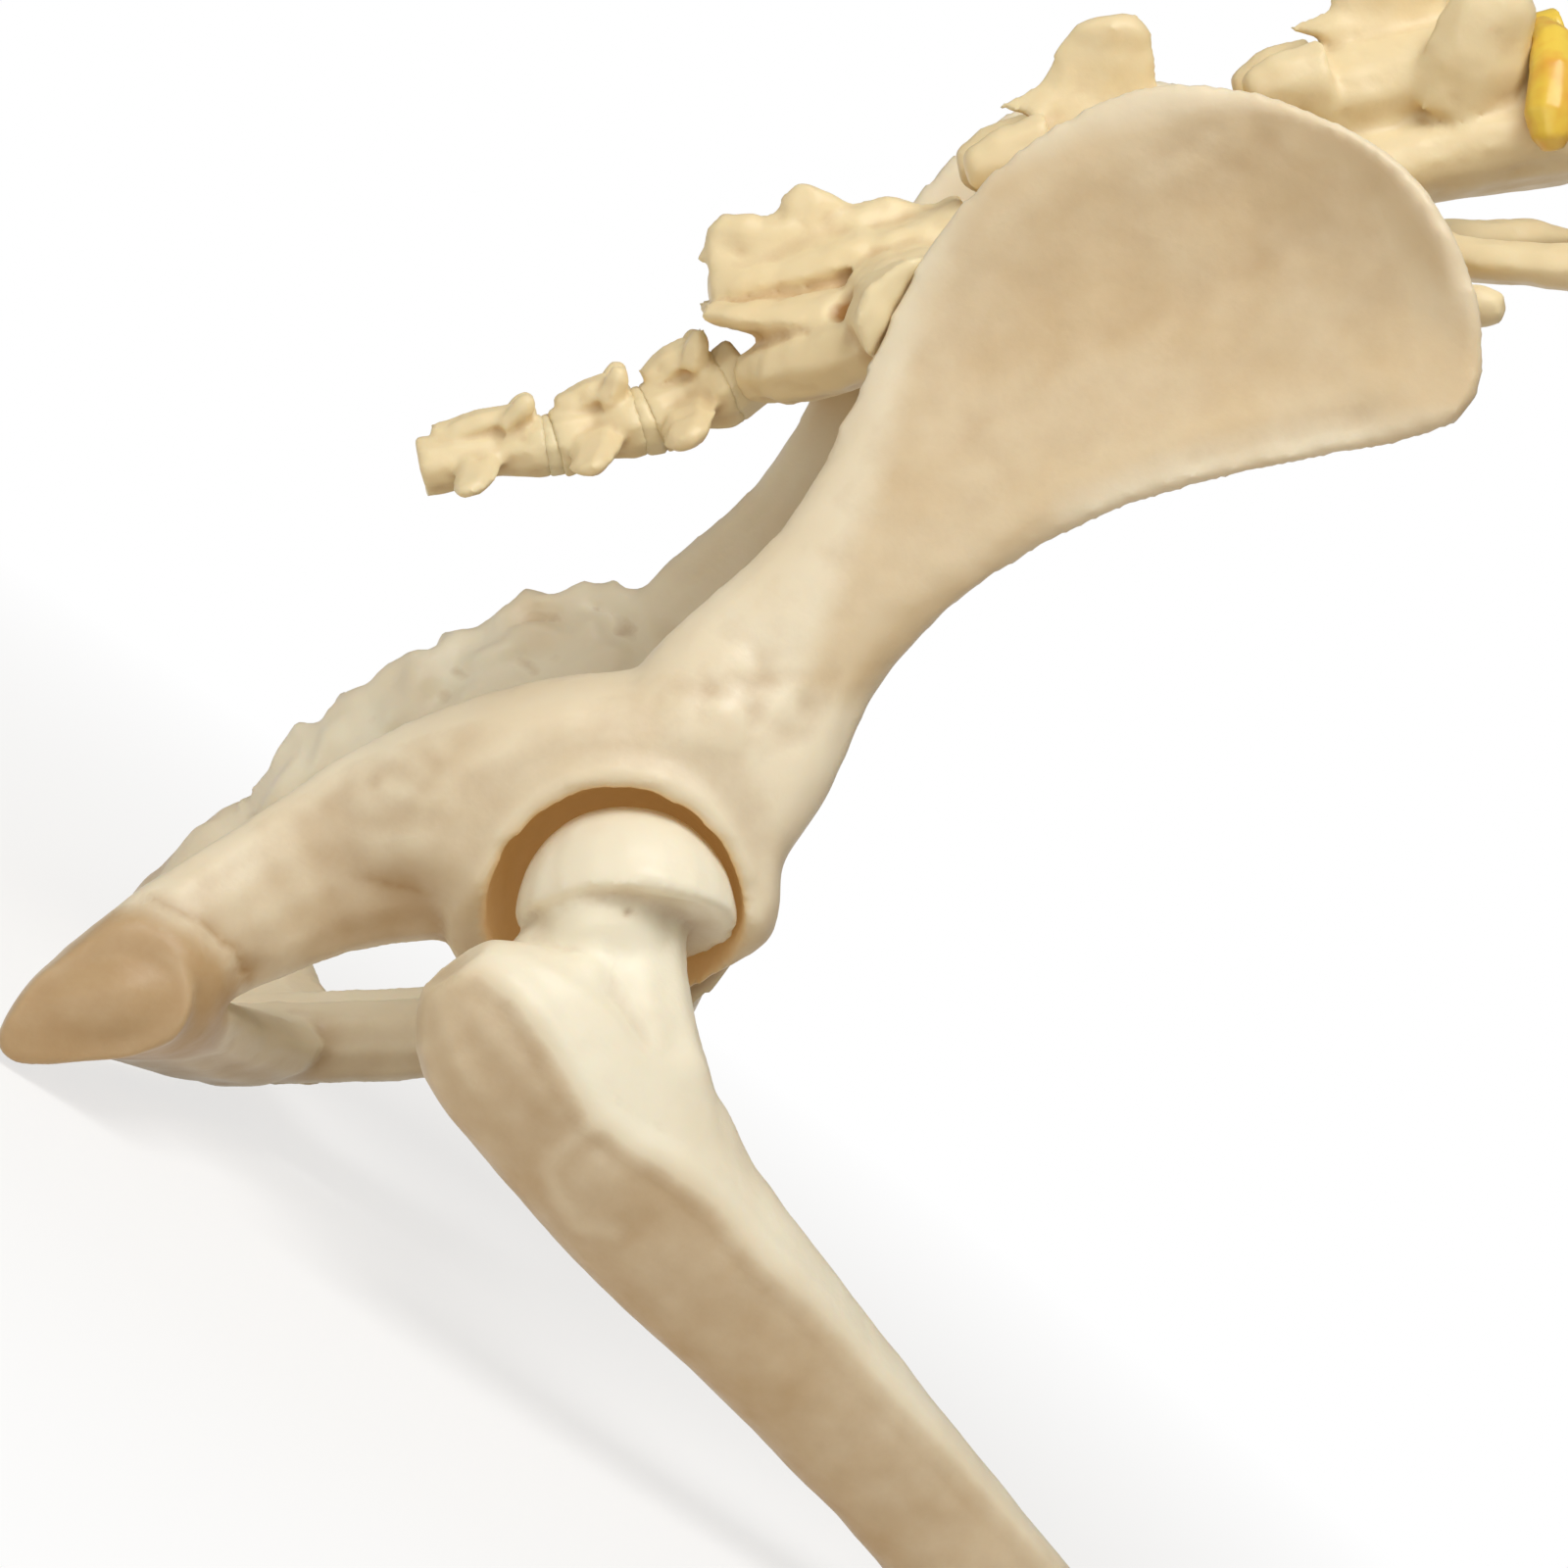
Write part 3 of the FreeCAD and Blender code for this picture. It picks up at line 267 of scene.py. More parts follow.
class Clay:
    """A bone's surface as arrays of points, their neighbours and their tones, for shaping by touches."""

    def __init__(self, mesh):
        self.mesh = mesh
        count = len(mesh.vertices)
        self.points = np.empty(count * 3)
        mesh.vertices.foreach_get("co", self.points)
        self.points = self.points.reshape(-1, 3)
        ends = np.empty(len(mesh.edges) * 2, dtype=np.int64)
        mesh.edges.foreach_get("vertices", ends)
        self.ends = ends.reshape(-1, 2)
        self.degree = np.maximum(np.bincount(ends, minlength=count), 1)
        # Tones: painted shade, a tint that is partly painted shade, and a painted glow.
        self.painted_shade = np.zeros(count)
        self.tint_and_shade = np.zeros(count)
        self.painted_glow = np.zeros(count)

    def neighbour_mean(self, values):
        """For each point, the mean of a row of values over its neighbours."""
        one, other = self.ends[:, 0], self.ends[:, 1]
        result = np.empty_like(values)
        for column in range(values.shape[1]):
            total = np.bincount(one, values[other, column], len(values))
            total += np.bincount(other, values[one, column], len(values))
            result[:, column] = total / self.degree
        return result

    def even(self, rounds, pull=0.5, push=-0.52):
        """Smooths without shrinking: each round pulls points to their neighbours' mean and back."""
        for _ in range(rounds):
            for share in (pull, push):
                self.points += share * (self.neighbour_mean(self.points) - self.points)

    def soften(self, rounds):
        """Plain smoothing, which also rounds edges."""
        for _ in range(rounds):
            self.points += 0.5 * (self.neighbour_mean(self.points) - self.points)

    def outward(self):
        """Unit outward direction at each point."""
        self.mesh.vertices.foreach_set("co", self.points.ravel())
        self.mesh.update()
        normals = np.empty(len(self.mesh.vertices) * 3, dtype=np.float32)
        self.mesh.vertex_normals.foreach_get("vector", normals)
        return normals.reshape(-1, 3).astype(float)

    def soften_where(self, share, rounds):
        """Plain smoothing where a share from 0 to 1 asks for it."""
        for _ in range(rounds):
            self.points += 0.5 * share[:, None] * (self.neighbour_mean(self.points) - self.points)

    def push_out(self, millimetres):
        """Moves each point along its outward direction."""
        self.points += self.outward() * (millimetres * MM)[:, None]

    def hollowness(self, rounds):
        """How far each point lies below the surface smoothed over a few millimetres, in millimetres."""
        smoothed = self.points.copy()
        for _ in range(rounds):
            smoothed += 0.5 * (self.neighbour_mean(smoothed) - smoothed)
        return np.einsum("ij,ij->i", smoothed - self.points, self.outward()) / MM

    def finish(self):
        """Hands the points and tones to the mesh, no point outside the solids' own box."""
        self.points = np.clip(self.points, np.array(cad_box[0]), np.array(cad_box[1]))
        self.mesh.vertices.foreach_set("co", self.points.ravel())
        for name, values in (("painted_shade", self.painted_shade), ("tint_and_shade", self.tint_and_shade), ("painted_glow", self.painted_glow)):
            attribute = self.mesh.attributes.new(name, "FLOAT", "POINT")
            attribute.data.foreach_set("value", values.astype(np.float32))
        self.mesh.polygons.foreach_set("use_smooth", np.ones(len(self.mesh.polygons), dtype=bool))
        self.mesh.update()


def falloff(distance, reach):
    """One at the middle of a touch, smoothly down to nothing at its reach."""
    share = np.clip(1 - (distance / reach) ** 2, 0, 1)
    return share * share


def ramp(values, start, width):
    """Nothing up to a start, then evenly up to one over a width."""
    return np.clip((values - start) / width, 0, 1)


def from_spot(places, centre, stretch=(1, 1, 1)):
    """Distance of each place from a spot, with each direction divided by its stretch."""
    return np.linalg.norm((places - np.array(centre)) / np.array(stretch), axis=1)


def round_spot(places, centre, reach):
    """One at a round spot's middle, smoothly down to nothing at its reach."""
    return falloff(from_spot(places, centre), reach)


def oval_spot(places, centre, reaches):
    """One at an oval spot's middle, smoothly down to nothing at its reach in x, y and z."""
    return falloff(from_spot(places, centre, reaches), 1.0)


def from_route(places, route):
    """Distance of each place from a broken line through a few points."""
    nearest = np.full(len(places), np.inf)
    for start, end in zip(route, route[1:]):
        start, end = np.array(start, float), np.array(end, float)
        along = end - start
        share = np.clip((places - start) @ along / (along @ along), 0, 1)
        nearest = np.minimum(nearest, np.linalg.norm(places - start - share[:, None] * along, axis=1))
    return nearest


def strip(places, route, reach):
    """One along a route, smoothly down to nothing at its reach."""
    return falloff(from_route(places, route), reach)


# Factors that keep a place's x and z and take its y away, as when the bone is seen from its side.
SIDE_VIEW = np.array((1, 0, 1))


def side_strip(places, route, reach):
    """One along a route of x and z seen from the side, smoothly down to nothing at its reach."""
    return strip(places * SIDE_VIEW, [(x, 0, z) for x, z in route], reach)


def within(places, outline, edge):
    """One inside an outline of x and z, nothing outside it, with a soft edge some millimetres wide."""
    flat = places[:, (0, 2)]
    inside = np.zeros(len(flat), dtype=bool)
    nearest = np.full(len(flat), np.inf)
    for (x0, z0), (x1, z1) in zip(outline, outline[1:] + outline[:1]):
        crosses = (flat[:, 1] < z0) != (flat[:, 1] < z1)
        inside ^= crosses & (flat[:, 0] < x0 + (flat[:, 1] - z0) * (x1 - x0) / ((z1 - z0) or 1))
        start, along = np.array((x0, z0)), np.array((x1 - x0, z1 - z0))
        share = np.clip((flat - start) @ along / (along @ along), 0, 1)
        nearest = np.minimum(nearest, np.linalg.norm(flat - start - share[:, None] * along, axis=1))
    return np.clip(0.5 + np.where(inside, nearest, -nearest) / edge, 0, 1)


def waviness(places, spacing, seed):
    """Smooth noise from -1 to 1 whose waves are about a spacing in millimetres long."""
    shift = Vector((seed * 17.3, seed * 5.1, seed * 11.7))
    return np.array([noise.noise(Vector(place) / spacing + shift) for place in places])


def pitting(places, spacing, seed):
    """Small round pits from 0 to 1, about a spacing in millimetres apart."""
    pit_radius = 0.42
    shift = Vector((seed * 13.1, seed * 7.9, seed * 3.3))
    nearest = np.array([noise.voronoi(Vector(place) / spacing + shift)[0][0] for place in places])
    return np.clip(1 - nearest / pit_radius, 0, 1) ** 1.5


def strewn_knobs_tree():
    """Geometry tree that strews uneven round knobs along a line of edges."""
    tree = bpy.data.node_groups.new("strewn_knobs", "GeometryNodeTree")
    tree.is_modifier = True
    for name, kind in (("Line", "Geometry"), ("Count", "Int"), ("Radius", "Float"), ("Spread", "Float"),
                       ("Seed", "Int"), ("Material", "Material")):
        tree.interface.new_socket(name, in_out="INPUT", socket_type="NodeSocket" + kind)
    tree.interface.new_socket("Knobs", in_out="OUTPUT", socket_type="NodeSocketGeometry")
    given = add_node(tree, "NodeGroupInput").outputs
    line = add_node(tree, "GeometryNodeMeshToCurve", links={"Mesh": given["Line"]})
    even = add_node(tree, "GeometryNodeResampleCurve",
                    links={"Curve": line.outputs["Curve"], "Count": given["Count"]})
    aside = add_node(tree, "FunctionNodeRandomValue", {"data_type": "FLOAT_VECTOR"},
                     inputs={0: (-1, -1, -1), 1: (1, 1, 1)}, links={"Seed": given["Seed"]})
    offset = add_node(tree, "ShaderNodeVectorMath", {"operation": "SCALE"},
                      links={0: aside.outputs[0], "Scale": given["Spread"]})
    strewn = add_node(tree, "GeometryNodeSetPosition",
                      links={"Geometry": even.outputs["Curve"], "Offset": offset.outputs["Vector"]})
    share = add_node(tree, "FunctionNodeRandomValue", {"data_type": "FLOAT_VECTOR"},
                     inputs={0: (0.55, 0.55, 0.55), 1: (1.25, 1.25, 1.25)}, links={"Seed": given["Seed"]})
    girth = add_node(tree, "ShaderNodeVectorMath", {"operation": "SCALE"},
                     links={0: share.outputs[0], "Scale": given["Radius"]})
    knob = add_node(tree, "GeometryNodeMeshIcoSphere", inputs={"Radius": 1.0, "Subdivisions": 3})
    placed_knobs = add_node(tree, "GeometryNodeInstanceOnPoints",
                            links={"Points": strewn.outputs["Geometry"], "Instance": knob.outputs["Mesh"],
                                   "Scale": girth.outputs["Vector"]})
    real = add_node(tree, "GeometryNodeRealizeInstances",
                    links={"Geometry": placed_knobs.outputs["Instances"]})
    painted = add_node(tree, "GeometryNodeSetMaterial",
                       links={"Geometry": real.outputs["Geometry"], "Material": given["Material"]})
    add_node(tree, "NodeGroupOutput", links={"Knobs": painted.outputs["Geometry"]})
    return tree


KNOBS = strewn_knobs_tree()


def knobs(route, count, radius, spread, seed):
    """A mesh of round knobs strewn along a route of animal places, with sizes in millimetres."""
    line = bpy.data.meshes.new("knob_line")
    line.from_pydata([placed(*place) for place in route], [(i, i + 1) for i in range(len(route) - 1)], [])
    blank = bpy.data.objects.new("knob_line", line)
    bpy.context.scene.collection.objects.link(blank)
    modifier = blank.modifiers.new("knobs", "NODES")
    modifier.node_group = KNOBS
    values = {"Count": count, "Radius": radius * MM, "Spread": spread * MM, "Seed": seed,
              "Material": IVORY}
    for item in KNOBS.interface.items_tree:
        if item.name in values:
            modifier[item.identifier] = values[item.name]
    evaluated = blank.evaluated_get(bpy.context.evaluated_depsgraph_get())
    result = bpy.data.meshes.new_from_object(evaluated)
    bpy.data.objects.remove(blank)
    return result


def solid_copy(node, extras=()):
    """The merged surface of a node's solid, with meshes of knobs added that overlap it."""
    merge_distance = 0.002 * MM
    shape = bmesh.new()
    shape.from_mesh(frame["nodes"][node].data)
    bmesh.ops.remove_doubles(shape, verts=shape.verts, dist=merge_distance)
    for extra in extras:
        shape.from_mesh(extra)
    mesh = bpy.data.meshes.new(node + "_blank")
    shape.to_mesh(mesh)
    shape.free()
    return mesh


def keep_largest_shell(mesh):
    """Removes the specks that remeshing leaves inside a mesh."""
    shape = bmesh.new()
    shape.from_mesh(mesh)
    unseen = set(shape.verts)
    shells = []
    while unseen:
        shell = {unseen.pop()}
        edge = list(shell)
        while edge:
            near = {link.other_vert(vert) for vert in edge for link in vert.link_edges} & unseen
            unseen -= near
            shell |= near
            edge = list(near)
        shells.append(shell)
    shells.sort(key=len)
    specks = [vert for shell in shells[:-1] for vert in shell]
    bmesh.ops.delete(shape, geom=specks, context="VERTS")
    shape.to_mesh(mesh)
    shape.free()


def remeshed(name, mesh, grid_mm):
    """The outer surface of a closed mesh, or of several that overlap, as one mesh of even squares."""
    blank = bpy.data.objects.new(name + "_blank", mesh)
    bpy.context.scene.collection.objects.link(blank)
    modifier = blank.modifiers.new("even_squares", "REMESH")
    modifier.mode = "VOXEL"
    modifier.voxel_size = grid_mm * MM
    evaluated = blank.evaluated_get(bpy.context.evaluated_depsgraph_get())
    result = bpy.data.meshes.new_from_object(evaluated)
    bpy.data.objects.remove(blank)
    result.name = name
    result.materials.clear()
    keep_largest_shell(result)
    return result


def clay_of(node, grid_mm, rounds, extras=()):
    """The clay of a node's solid, as small even squares made smooth in some rounds."""
    clay = Clay(remeshed(node, solid_copy(node, extras), grid_mm))
    clay.even(rounds)
    return clay


def set_piece(clay, node, material):
    """The finished piece of some clay, which stands for a node."""
    clay.finish()
    piece = bpy.data.objects.new(node + "_moulding", clay.mesh)
    bpy.context.scene.collection.objects.link(piece)
    clay.mesh.materials.append(material)
    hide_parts(node)
    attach(piece, "root")


def facing_out(clay, lift=0.0):
    """One where a surface faces away from the body's middle plane, nothing where it faces it."""
    contrast = 1.6
    sides = np.sign(clay.points[:, 1] - body_origin.y)
    return np.clip(clay.outward()[:, 1] * sides * contrast + lift, 0, 1)


def paint_hollow_shade(clay, near, far):
    """Painted shade in narrow and in wider hollows and on undersides, with lighter high edges, a painted
    highlight.
    """
    narrow_rounds, narrow_depth = 6, 0.25
    wide_rounds, wide_depth = 60, 1.6
    clay.painted_shade += near * np.clip(clay.hollowness(narrow_rounds) / narrow_depth, -0.6, 1)
    clay.painted_shade += far * np.clip(clay.hollowness(wide_rounds) / wide_depth, -0.5, 1)
    # Undersides, turned from the light, get painted shade and tint.
    under = np.clip(-1.4 * (clay.outward() @ LEAN_ROWS)[:, 2], 0, 1)
    clay.painted_shade += 0.22 * under
    clay.tint_and_shade += 0.30 * under


# The right hip bone seen from its side. Outlines are in x and z, and routes are in x, y and z. The fossa
# is the wing's dished face, and the tuber is the thick end of the ischium.
SOCKET_MIDDLE = (0, -38, 0)
CUP_RADIUS = 15.4
RIM_RADIUS = 16
FOSSA = [(42, 80), (52, 85), (65, 88.4), (73, 88.4), (81, 85.6), (86, 80.5), (91.5, 71.5), (95.9, 58.8),
         (93, 55.5), (84, 54.5), (73.5, 53), (63, 50), (55, 47), (50, 44), (44, 38), (36, 31), (27, 22),
         (21, 24), (26, 37), (31, 50), (35, 67)]
TUBER_FACE = [(-55.4, 1.2), (-52.1, 0.8), (-46.5, -2.0), (-43.4, -5.3), (-42.2, -8.0), (-42.6, -11.6),
              (-45, -17), (-60, -18), (-70, -17), (-70, -8)]
CREST = [(42, -38, 79), (52.5, -38, 84), (65.4, -40, 86.5), (73, -41, 86.5), (80, -42, 84),
         (84, -43, 79.5), (88, -45, 71.5), (91, -48, 60)]
WING_LOWER_EDGE = [(45, -39, 38), (55, -40, 45.5), (68, -42, 50), (82, -45, 54)]
TUBER_EDGE = [(-55.4, -46, 1.2), (-52, -46, 0.8), (-46.5, -46, -2), (-43.4, -45, -5.3), (-42.4, -44, -8),
              (-42.8, -43, -11.6)]
TUBER_GROOVE = [(-39.5, -42, -8), (-39.5, -40, -15)]
ISCHIUM_MIDDLE = [(-31, -36, -3), (-21, -36, -1.5), (-14, -36, -2.5)]

# Rough patches: how rough, where, and how far they reach in x, y and z.
ROUGH_PATCHES = [(1.0, (14, -42, 23), (15, 14, 8)), (0.7, (-24, -42, 14), (15, 12, 8)),
                 (0.3, (-60, -46, -4), (12, 12, 8))]


def right_places(clay, side):
    """The points in the animal's millimetres, those of the left side (-1) as they are on the right."""
    return animal_mm(clay.points) * np.array((1, side, 1))


def tuber_face(clay, places, edge):
    """One on the tuber's flat end face, with a soft edge some millimetres wide."""
    return within(places, TUBER_FACE, edge) * facing_out(clay, 0.7)


def tuber_groove(places, outside):
    """One in the groove between the tuber's end face and the ischium."""
    return strip(places, TUBER_GROOVE, 4.5) * outside


def rough_patches(places, outside):
    """One where the bone's outer face is roughest."""
    rough = sum(share * oval_spot(places, middle, reaches) for share, middle, reaches in ROUGH_PATCHES)
    return rough * np.clip(3 * outside, 0, 1)


def level_hip(clay, side, places, outside, face):
    """Brings the bone above the socket out to one level skin, and the tuber's end to its slanted face."""
    near_radius = 21
    skin_level = 42.0
    most_skin_lift = 2.8
    face_level = 47.0
    most_face_lift = 3.6
    x, y, z = places.T
    reach = np.hypot(x, z)
    above = ramp(z + 0.25 * x, -4, 5) * ramp(-y, 30, 4)
    near_rim = falloff(np.clip(reach - near_radius, 0, None), 13.0) * above
    level = skin_level - 0.010 * np.clip(reach - RIM_RADIUS, 0, None) ** 2
    lift = np.clip(level + y, 0, most_skin_lift) * near_rim * (outside > 0.05)
    slant = face_level + 0.30 * np.clip(2 - z, 0, 12)
    lift += np.clip(slant + y, 0, most_face_lift) * face
    clay.points[:, 1] -= side * lift * MM
    outer = ramp(-y, 31, 4)
    clay.soften_where(near_rim * ramp(reach, RIM_RADIUS, 2) * outer, 24)
    clay.soften_where(face, 8)
    clay.soften_where(near_rim * outer, 5)


def hip_relief(places, outside, face):
    """Heights of the crest, the wing's lower edge, the tuber's edge, the waves and the rough patches."""
    reach = np.hypot(places[:, 0], places[:, 2])
    quiet = ramp(reach, RIM_RADIUS + 1, 5) * (1 - 0.7 * face)
    rough = rough_patches(places, outside)
    pad_hollow = round_spot(places, (32, -26, 57), 8.0) * (1 - outside)
    push = -0.5 * strip(places, CREST, 6.0) * outside
    push += 0.4 * waviness(places, 4.0, 21) * strip(places, CREST[:4], 9.0)
    push -= 0.5 * strip(places, WING_LOWER_EDGE, 4.0) * outside
    push += 0.3 * strip(places, TUBER_EDGE, 2.4) * outside
    push -= 1.0 * tuber_groove(places, outside)
    push += (0.35 * waviness(places, 14, 1) + 0.16 * waviness(places, 4.5, 2)) * quiet
    push -= 0.3 * rough * pitting(places, 4.0, 3)
    push += 0.85 * rough * waviness(places, 5.0, 4) + 0.45 * rough * waviness(places, 2.5, 8)
    push -= 1.2 * pad_hollow
    return push


def hip_tones(clay, places, outside):
    """Painted shade and tint of a hip bone: its two faces, the pad for the sacrum, the crest and the back
    half.
    """
    pad = round_spot(places, (30, -26, 58), 16.0) * (1 - outside)
    face = tuber_face(clay, places, 1.6)
    fossa = within(places, FOSSA, 3.0) * outside
    back_half = ramp(-places[:, 0], 4, 12) * outside
    above_socket = oval_spot(places, (0, -42, 24), (18, 12, 9))
    # Painted shade: darker on the pad between bone and sacrum, in the groove, along the ischium, in rough
    # patches, on the outer face, the tuber's end face, the back half and above the socket; lighter on the
    # crest and the inner face, as painted highlight and painted light. The tint there is partly painted
    # shade.
    clay.painted_shade += 0.45 * pad + 0.12 * tuber_groove(places, outside) - 0.30 * strip(places, CREST, 4.0)
    clay.painted_shade += 0.15 * strip(places, ISCHIUM_MIDDLE, 6.0)
    clay.painted_shade += 0.12 * rough_patches(places, outside) + 0.12 * outside + 0.50 * face
    clay.painted_shade += 0.26 * back_half + 0.22 * above_socket - 0.20 * (1 - outside)
    clay.tint_and_shade += 0.9 * pad + 0.40 * outside + 0.40 * fossa + 0.40 * face + 0.30 * (1 - outside)


def hip_touches(clay, side):
    """Form and tones of a hip bone beyond its solid."""
    places = right_places(clay, side)
    outside = facing_out(clay)
    face = tuber_face(clay, places, 3.0)
    level_hip(clay, side, places, outside, face)
    clay.push_out(hip_relief(places, outside, face))
    hip_tones(clay, places, outside)


def even_tones(clay, side):
    """The inside of the socket, the ring round it and the end face of the tuber each keep one tone of
    painted shade.
    """
    cup_shade = 0.35
    ring_shade = 0.22
    face_shade = 0.74
    # The right cup's inside gets a painted glow, standing in for light through its wall; the left cup, in
    # the right one's shade, gets less.
    painted_glow = 0.65 if side > 0 else 0.15
    places = right_places(clay, side)
    inside = ramp(-from_spot(places, SOCKET_MIDDLE), -CUP_RADIUS, 0.9)
    clay.painted_shade += inside * (cup_shade - clay.painted_shade)
    clay.tint_and_shade += inside * (1.0 - clay.tint_and_shade)
    clay.painted_glow += painted_glow * inside
    reach = np.hypot(places[:, 0], places[:, 2])
    ring = falloff(reach - RIM_RADIUS - 2, 5.0) * (1 - inside) * ramp(-places[:, 1], 34, 4)
    clay.painted_shade += 0.8 * ring * (ring_shade - clay.painted_shade)
    clay.painted_shade += 0.8 * tuber_face(clay, places, 1.6) * (face_shade - clay.painted_shade)


# The left ischium's rough edge, along which its knobs are strewn.
SPUR_LINE = [(3.0, 32.0, 26.0), (-3.5, 33.0, 25.2), (-10.5, 33.0, 23.4), (-17.0, 33.0, 20.2),
             (-23.5, 33.0, 16.0), (-30.0, 33.5, 12.4), (-36.0, 34.5, 8.0), (-41.5, 36.5, 3.8)]


def left_ischium_touches(clay):
    """The lumpy edge of the left ischium, with a notch behind it and a raised tuber."""
    places = animal_mm(clay.points)
    rough = strip(places, [(x, 28, z - 2) for x, _, z in SPUR_LINE], 12.0)
    notch = round_spot(places, (-44.0, 35, 3.5), 8.0)
    tuber = round_spot(places, (-52.5, 37, -5.0), 7.0)
    lumps = rough * (2.4 * waviness(places, 5.5, 9) + 1.1 * waviness(places, 2.8, 12))
    clay.points += (2.2 * tuber - 3.2 * notch)[:, None] * LEAN_ROWS[:, 2] * MM
    clay.push_out(lumps)
    clay.soften_where(np.clip(2 * rough, 0, 1), 2)
    # The lumpy edge is painted lighter, painted light where the right bone shades it, with an uneven tint.
    clay.painted_shade -= 0.12 * rough
    clay.tint_and_shade -= rough * (0.15 + 0.30 * waviness(places, 7.0, 15))


def hip_bone(node, side, rounds, spurs=()):
    """The right (1) or left (-1) hip bone; the left one has spurs, meshes of knobs along its edge."""
    clay = clay_of(node, grid_mm=0.8, rounds=rounds, extras=spurs)
    clay.soften(1)
    hip_touches(clay, side)
    if spurs:
        left_ischium_touches(clay)
    # Painted shade in hollows and on undersides, then even tones of painted shade and the cup's painted
    # glow.
    paint_hollow_shade(clay, near=0.35, far=0.55)
    even_tones(clay, side)
    set_piece(clay, node, IVORY)


# The femur seen from its side, in x and z: the ridge down its shaft, the face behind the ridge and the arc
# round the small hump. The edge of the cap is in x, y and z.
FEMUR_RIDGE = [(-19, -3.5), (-14.8, -4), (-11, -6.3), (-8.6, -9.4), (-6.4, -13.2), (-4.3, -16.7),
               (-2, -20.3), (1.4, -23), (6, -26), (11, -30.3), (16, -36.7), (21.3, -42), (29, -51.5),
               (39, -62.6), (50, -75)]
BACK_FACE = FEMUR_RIDGE + [(78, -107), (63, -121), (-5, -55), (-30, -25), (-30, -2)]
HUMP_ARC = [(-2.6, -20.6), (-5.1, -22.7), (-7.2, -24.8), (-7.9, -26.8), (-6.7, -29.9), (-4.6, -33),
            (-0.7, -33.6)]
CAP_LIP = [(3.1, -50.5, 5.2), (5.6, -50, 3.4), (9.8, -49, 2.0), (13, -46, 0.2)]


def cap_pits(places):
    """One where the edge of the femur's cap is pitted."""
    return oval_spot(places, (-1, -49.5, 0.8), (7, 6, 2.6))


def smooth_femur(clay, places):
    """Rounds the edges of the femur's shaft, of its neck's foot and of the bone under the cap."""
    clay.soften_where(ramp(-places[:, 2], 17, 6), 30)
    clay.soften_where(round_spot(places, (11, -46, -27), 14.0), 50)
    clay.soften_where(oval_spot(places, (-3, -49.5, -0.5), (10, 7, 5.5)), 26)


def level_under_cap(clay, places):
    """Brings the bone under the femur's cap out to one level skin."""
    skin_level = 50.4
    most_lift = 3.5
    under_cap = oval_spot(places * SIDE_VIEW, (-1.5, 0, -0.5), (9.5, 1, 5.0))
    lift = np.clip(skin_level + places[:, 1], 0, most_lift) * under_cap * (places[:, 1] < -44)
    clay.points[:, 1] -= lift * MM
    clay.soften_where(np.clip(2 * under_cap, 0, 1), 8)


def femur_relief(places, outside):
    """Heights of the ridge, the neck, the trochanter, the cap's lip and pits, the hump and the waves."""
    behind_ridge = [(x - 5.0, z - 5.0) for x, z in FEMUR_RIDGE[2:]]
    neck_front = round_spot(places, (10.5, -46, -16.5), 6.0)
    neck_foot = round_spot(places, (12, -46, -24.5), 6.0)
    shaft_front = round_spot(places, (13, -46, -32), 7.0)
    trochanter_top = oval_spot(places, (-9.5, -44, -5), (5, 7, 4.5))
    below_cap = oval_spot(places, (-1, -49, -5.0), (9, 8, 5))
    cap_stem = strip(places, [(-3.1, -51, -0.5), (-3.2, -51.5, -7.5)], 3.0)
    stem_crease = strip(places, [(-2.6, -52, -8), (-2.0, -53, -11)], 1.3)
    hump = oval_spot(places * SIDE_VIEW, (-1.5, 0, -27.5), (7, 1, 7.5)) * outside
    push = 0.8 * side_strip(places, FEMUR_RIDGE, 3.0) * outside
    push += 1.0 * neck_foot - 0.8 * neck_front + 0.9 * shaft_front
    push -= 0.4 * side_strip(places, behind_ridge, 5.5) * outside
    push += 0.25 * strip(places, CAP_LIP, 2.4) * outside
    push += 1.4 * trochanter_top
    push -= 1.2 * cap_pits(places) * pitting(places, 2.4, 11)
    push += 0.6 * below_cap + 0.6 * cap_stem - 0.5 * stem_crease
    push += 0.9 * hump + 0.20 * side_strip(places, HUMP_ARC, 2.2) * outside
    push += 0.25 * waviness(places, 10, 5) + 0.07 * waviness(places, 3.5, 6)
    return push


def femur_bone():
    """The right femur: its cap-like head, neck, trochanter and shaft."""
    node = "right_femur"
    clay = clay_of(node, grid_mm=0.7, rounds=30)
    clay.soften(1)
    places = animal_mm(clay.points)
    smooth_femur(clay, places)
    outside = facing_out(clay)
    level_under_cap(clay, places)
    clay.push_out(femur_relief(places, outside))
    # Painted shade on the face behind the ridge, turned from the light, in the cap's pits and in hollows;
    # painted highlight along the ridge and the hump's arc.
    back = within(places, BACK_FACE, 2.6) * facing_out(clay, 0.5)
    clay.painted_shade += 0.30 * cap_pits(places) + 0.50 * back - 0.05 * side_strip(places, FEMUR_RIDGE, 2.5)
    clay.painted_shade -= 0.12 * side_strip(places, HUMP_ARC, 1.4) * outside
    clay.tint_and_shade += 0.45 * back
    paint_hollow_shade(clay, near=0.30, far=0.45)
    set_piece(clay, node, IVORY)


# Small openings in the sacrum's sides: middle on the right, radius and depth.
SACRUM_HOLES = [((27.5, -13, 64.6), 3.2, 1.6), ((34, -17, 66), 2.6, 1.2)]


